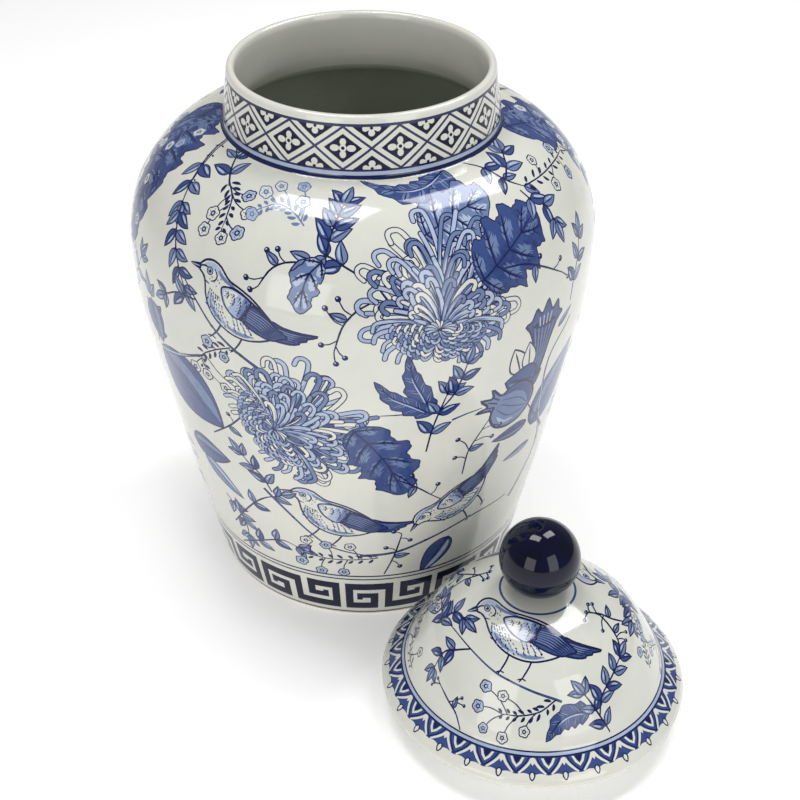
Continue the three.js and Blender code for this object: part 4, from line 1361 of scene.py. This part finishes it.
def jar():
    lo, hi = 0.3, JAR.length - 0.05
    top = straight_rows(JAR, hi, float(JAR.s[-1]), 9.0)
    bottom = straight_rows(JAR, lo, float(JAR.s[0]), 12.0)
    # the inside below this place is coloured darker as painted shade
    neck_in = float(JAR.s[len(JAR.before) + len(JAR.paint) + 6])
    ob = turned_mesh("jar_glazed_body", JAR, jar_art() + jar_borders(), lo, hi, 144, 5.0, JAR_AXIS, CLASSES, (top, bottom), painted_shade_from=neck_in, bare=(81.0, 88.6, 1.4))
    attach(ob, "jar")
    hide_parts("jar_body")
    return ob


def lid():
    lo, hi = 0.2, LID.length - 0.2
    top = straight_rows(LID, hi, float(LID.s[-1]), 4.0)
    bottom = straight_rows(LID, lo, float(LID.s[0]), 6.0)
    ob = turned_mesh("lid_glazed_dome", LID, lid_art() + lid_borders(), lo, hi, 120, 3.2, LID_AXIS, CLASSES, (top, bottom))
    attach(ob, "lid")
    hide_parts("lid_shell")
    return ob


def plain_turned(name, outline, centre, material, segments, closed_loop=False, splits=None, mats=None):
    """A turned piece from a dense outline, smooth shaded."""
    p = v2(outline)
    th = np.linspace(0, 2 * math.pi, segments, endpoint=False)
    n = len(p)
    co = np.stack([centre[0] + np.outer(p[:, 0], np.cos(th)), centre[1] + np.outer(p[:, 0], np.sin(th)), np.repeat(p[:, 1][:, None], segments, 1)], 2).reshape(-1, 3) * 0.001
    faces, mi = [], []
    for i in range(n if closed_loop else n - 1):
        j = (i + 1) % n
        for k in range(segments):
            l = (k + 1) % segments
            faces.append((i * segments + k, i * segments + l, j * segments + l, j * segments + k))
            mi.append(splits(0.5 * (p[i] + p[j])) if splits else 0)
    if not closed_loop:
        faces.append(tuple(range(segments))[::-1])
        faces.append(tuple((n - 1) * segments + k for k in range(segments)))
        mi += [splits(p[0]) if splits else 0, splits(p[-1]) if splits else 0]
    me = bpy.data.meshes.new(name)
    me.from_pydata([tuple(v) for v in co], [], faces)
    for m in mats or [material]:
        me.materials.append(m)
    me.polygons.foreach_set("material_index", np.array(mi, np.int32))
    me.polygons.foreach_set("use_smooth", np.ones(len(faces), bool))
    me.update()
    ob = bpy.data.objects.new(name, me)
    bpy.context.scene.collection.objects.link(ob)
    return ob


def collar():
    # a plain ring with its corners rounded, the bottom edge wiped free of glaze
    p = []
    for (cx, cz, a0) in ((62.2, 23.1, 0), (59.6, 23.1, 90), (59.6, 1.0, 180), (62.1, 1.0, 270)):
        for k in range(6):
            h = math.radians(a0 + 18 * k)
            rad = 0.7 if cz > 10 else 0.9
            p.append((cx + rad * math.cos(h) * (0.99 if cz > 10 else 0.75), cz + rad * math.sin(h)))
    side_rows = []
    q = p + [p[0]]
    dense = []
    for i in range(len(q) - 1):
        a, b = np.array(q[i]), np.array(q[i + 1])
        m = max(1, int(np.hypot(*(b - a)) / 1.2))
        for k in range(m):
            t = k / m
            v = a + (b - a) * t
            wob = 0.05 * math.sin(v[1] * 2.2) * (1 if 2 < v[1] < 22 else 0)  # turning marks
            dense.append((v[0] + (wob if v[0] < 60.9 else -wob), v[1]))
    ob = plain_turned("lid_collar_ring", dense[::-1], LID_AXIS, None, 128, True, splits=lambda c: 1 if c[1] < 1.6 else 0, mats=[IVORY, BISCUIT])
    me = ob.data
    me.flip_normals()
    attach(ob, "lid")
    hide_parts("lid_collar")
    return ob


def knob():
    R, cz, foot = 20.93, 97.6, 78.3
    a1 = math.asin((79.6 - cz) / R)
    p = [(0.4, foot), (9.4, foot), (10.0, foot + 0.15), (10.35, foot + 0.6)]
    for k in range(61):
        h = a1 + (math.pi / 2 - a1) * k / 60.0
        p.append((max(0.4, R * math.cos(h)), cz + R * math.sin(h)))
    ob = plain_turned("lid_knob_ball", p, LID_AXIS, KNOB, 96)
    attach(ob, "lid")
    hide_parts("lid_knob")
    return ob


jar()
lid()
collar()
knob()

# ---------------------------------------------------------------------------
# Room, light and camera
# ---------------------------------------------------------------------------
def floor():
    s = 6.0
    me = bpy.data.meshes.new("floor")
    me.from_pydata([(-s, -s, 0), (s, -s, 0), (s, s, 0), (-s, s, 0)], [], [(0, 1, 2, 3)])
    m = bpy.data.materials.new("floor_pale")
    m.use_nodes = True
    b = m.node_tree.nodes["Principled BSDF"]
    b.inputs["Base Color"].default_value = (0.93, 0.93, 0.93, 1)
    b.inputs["Roughness"].default_value = 0.9
    b.inputs["Specular IOR Level"].default_value = 0.1
    b.inputs["Emission Color"].default_value = (1, 1, 1, 1)
    b.inputs["Emission Strength"].default_value = 0.28
    me.materials.append(m)
    ob = bpy.data.objects.new("floor", me)
    bpy.context.scene.collection.objects.link(ob)


floor()

KNOB_AT = Vector((0.0668, -0.0986, 0.0976))


def softbox(name, direction, distance, wide, tall, watts):
    d = Vector(direction).normalized()
    l = bpy.data.lights.new(name, "AREA")
    l.shape = "RECTANGLE"
    l.size, l.size_y = wide, tall
    l.energy = watts
    ob = bpy.data.objects.new(name, l)
    ob.location = KNOB_AT + d * distance
    ob.rotation_euler = (-d).to_track_quat("-Z", "Y").to_euler()
    bpy.context.scene.collection.objects.link(ob)
    return ob


softbox("front_left", (-0.548, -0.789, 0.279), 1.7, 0.85, 1.0, 7.7)
softbox("front_right", (0.498, -0.80, 0.33), 1.7, 0.80, 1.3, 9.2)
softbox("top_left", (-0.225, 0.147, 0.962), 1.6, 0.42, 0.75, 10.5)
softbox("top_right", (0.331, 0.336, 0.881), 1.6, 0.42, 0.75, 10.5)

world = bpy.data.worlds.new("studio")
world.use_nodes = True
world.node_tree.nodes["Background"].inputs[0].default_value = (1.0, 1.0, 1.0, 1)
world.node_tree.nodes["Background"].inputs[1].default_value = 0.24
bpy.context.scene.world = world
bpy.context.scene.view_settings.view_transform = "Standard"

PITCH, YAW, FOCAL_PX = math.radians(35.2259), math.radians(1.04926), 1541.588
cp, sp, cs, ss = math.cos(PITCH), math.sin(PITCH), math.cos(YAW), math.sin(YAW)
Fw, Rt, Up = Vector((ss * cp, cs * cp, -sp)), Vector((cs, -ss, 0)), Vector((ss * sp, cs * sp, cp))
cam = bpy.data.cameras.new("camera")
cam.sensor_width = 36.0
cam.lens = FOCAL_PX / 800.0 * 36.0
cam.shift_x = (400 - 388.16) / 800.0
cam.clip_start = 0.05
cam_ob = bpy.data.objects.new("camera", cam)
m = Matrix.Identity(4)
for i in range(3):
    m[i][0], m[i][1], m[i][2] = Rt[i], Up[i], -Fw[i]
m[0][3], m[1][3], m[2][3] = -0.021525, -0.693015, 0.616718
cam_ob.matrix_world = m
bpy.context.scene.collection.objects.link(cam_ob)
bpy.context.scene.camera = cam_ob
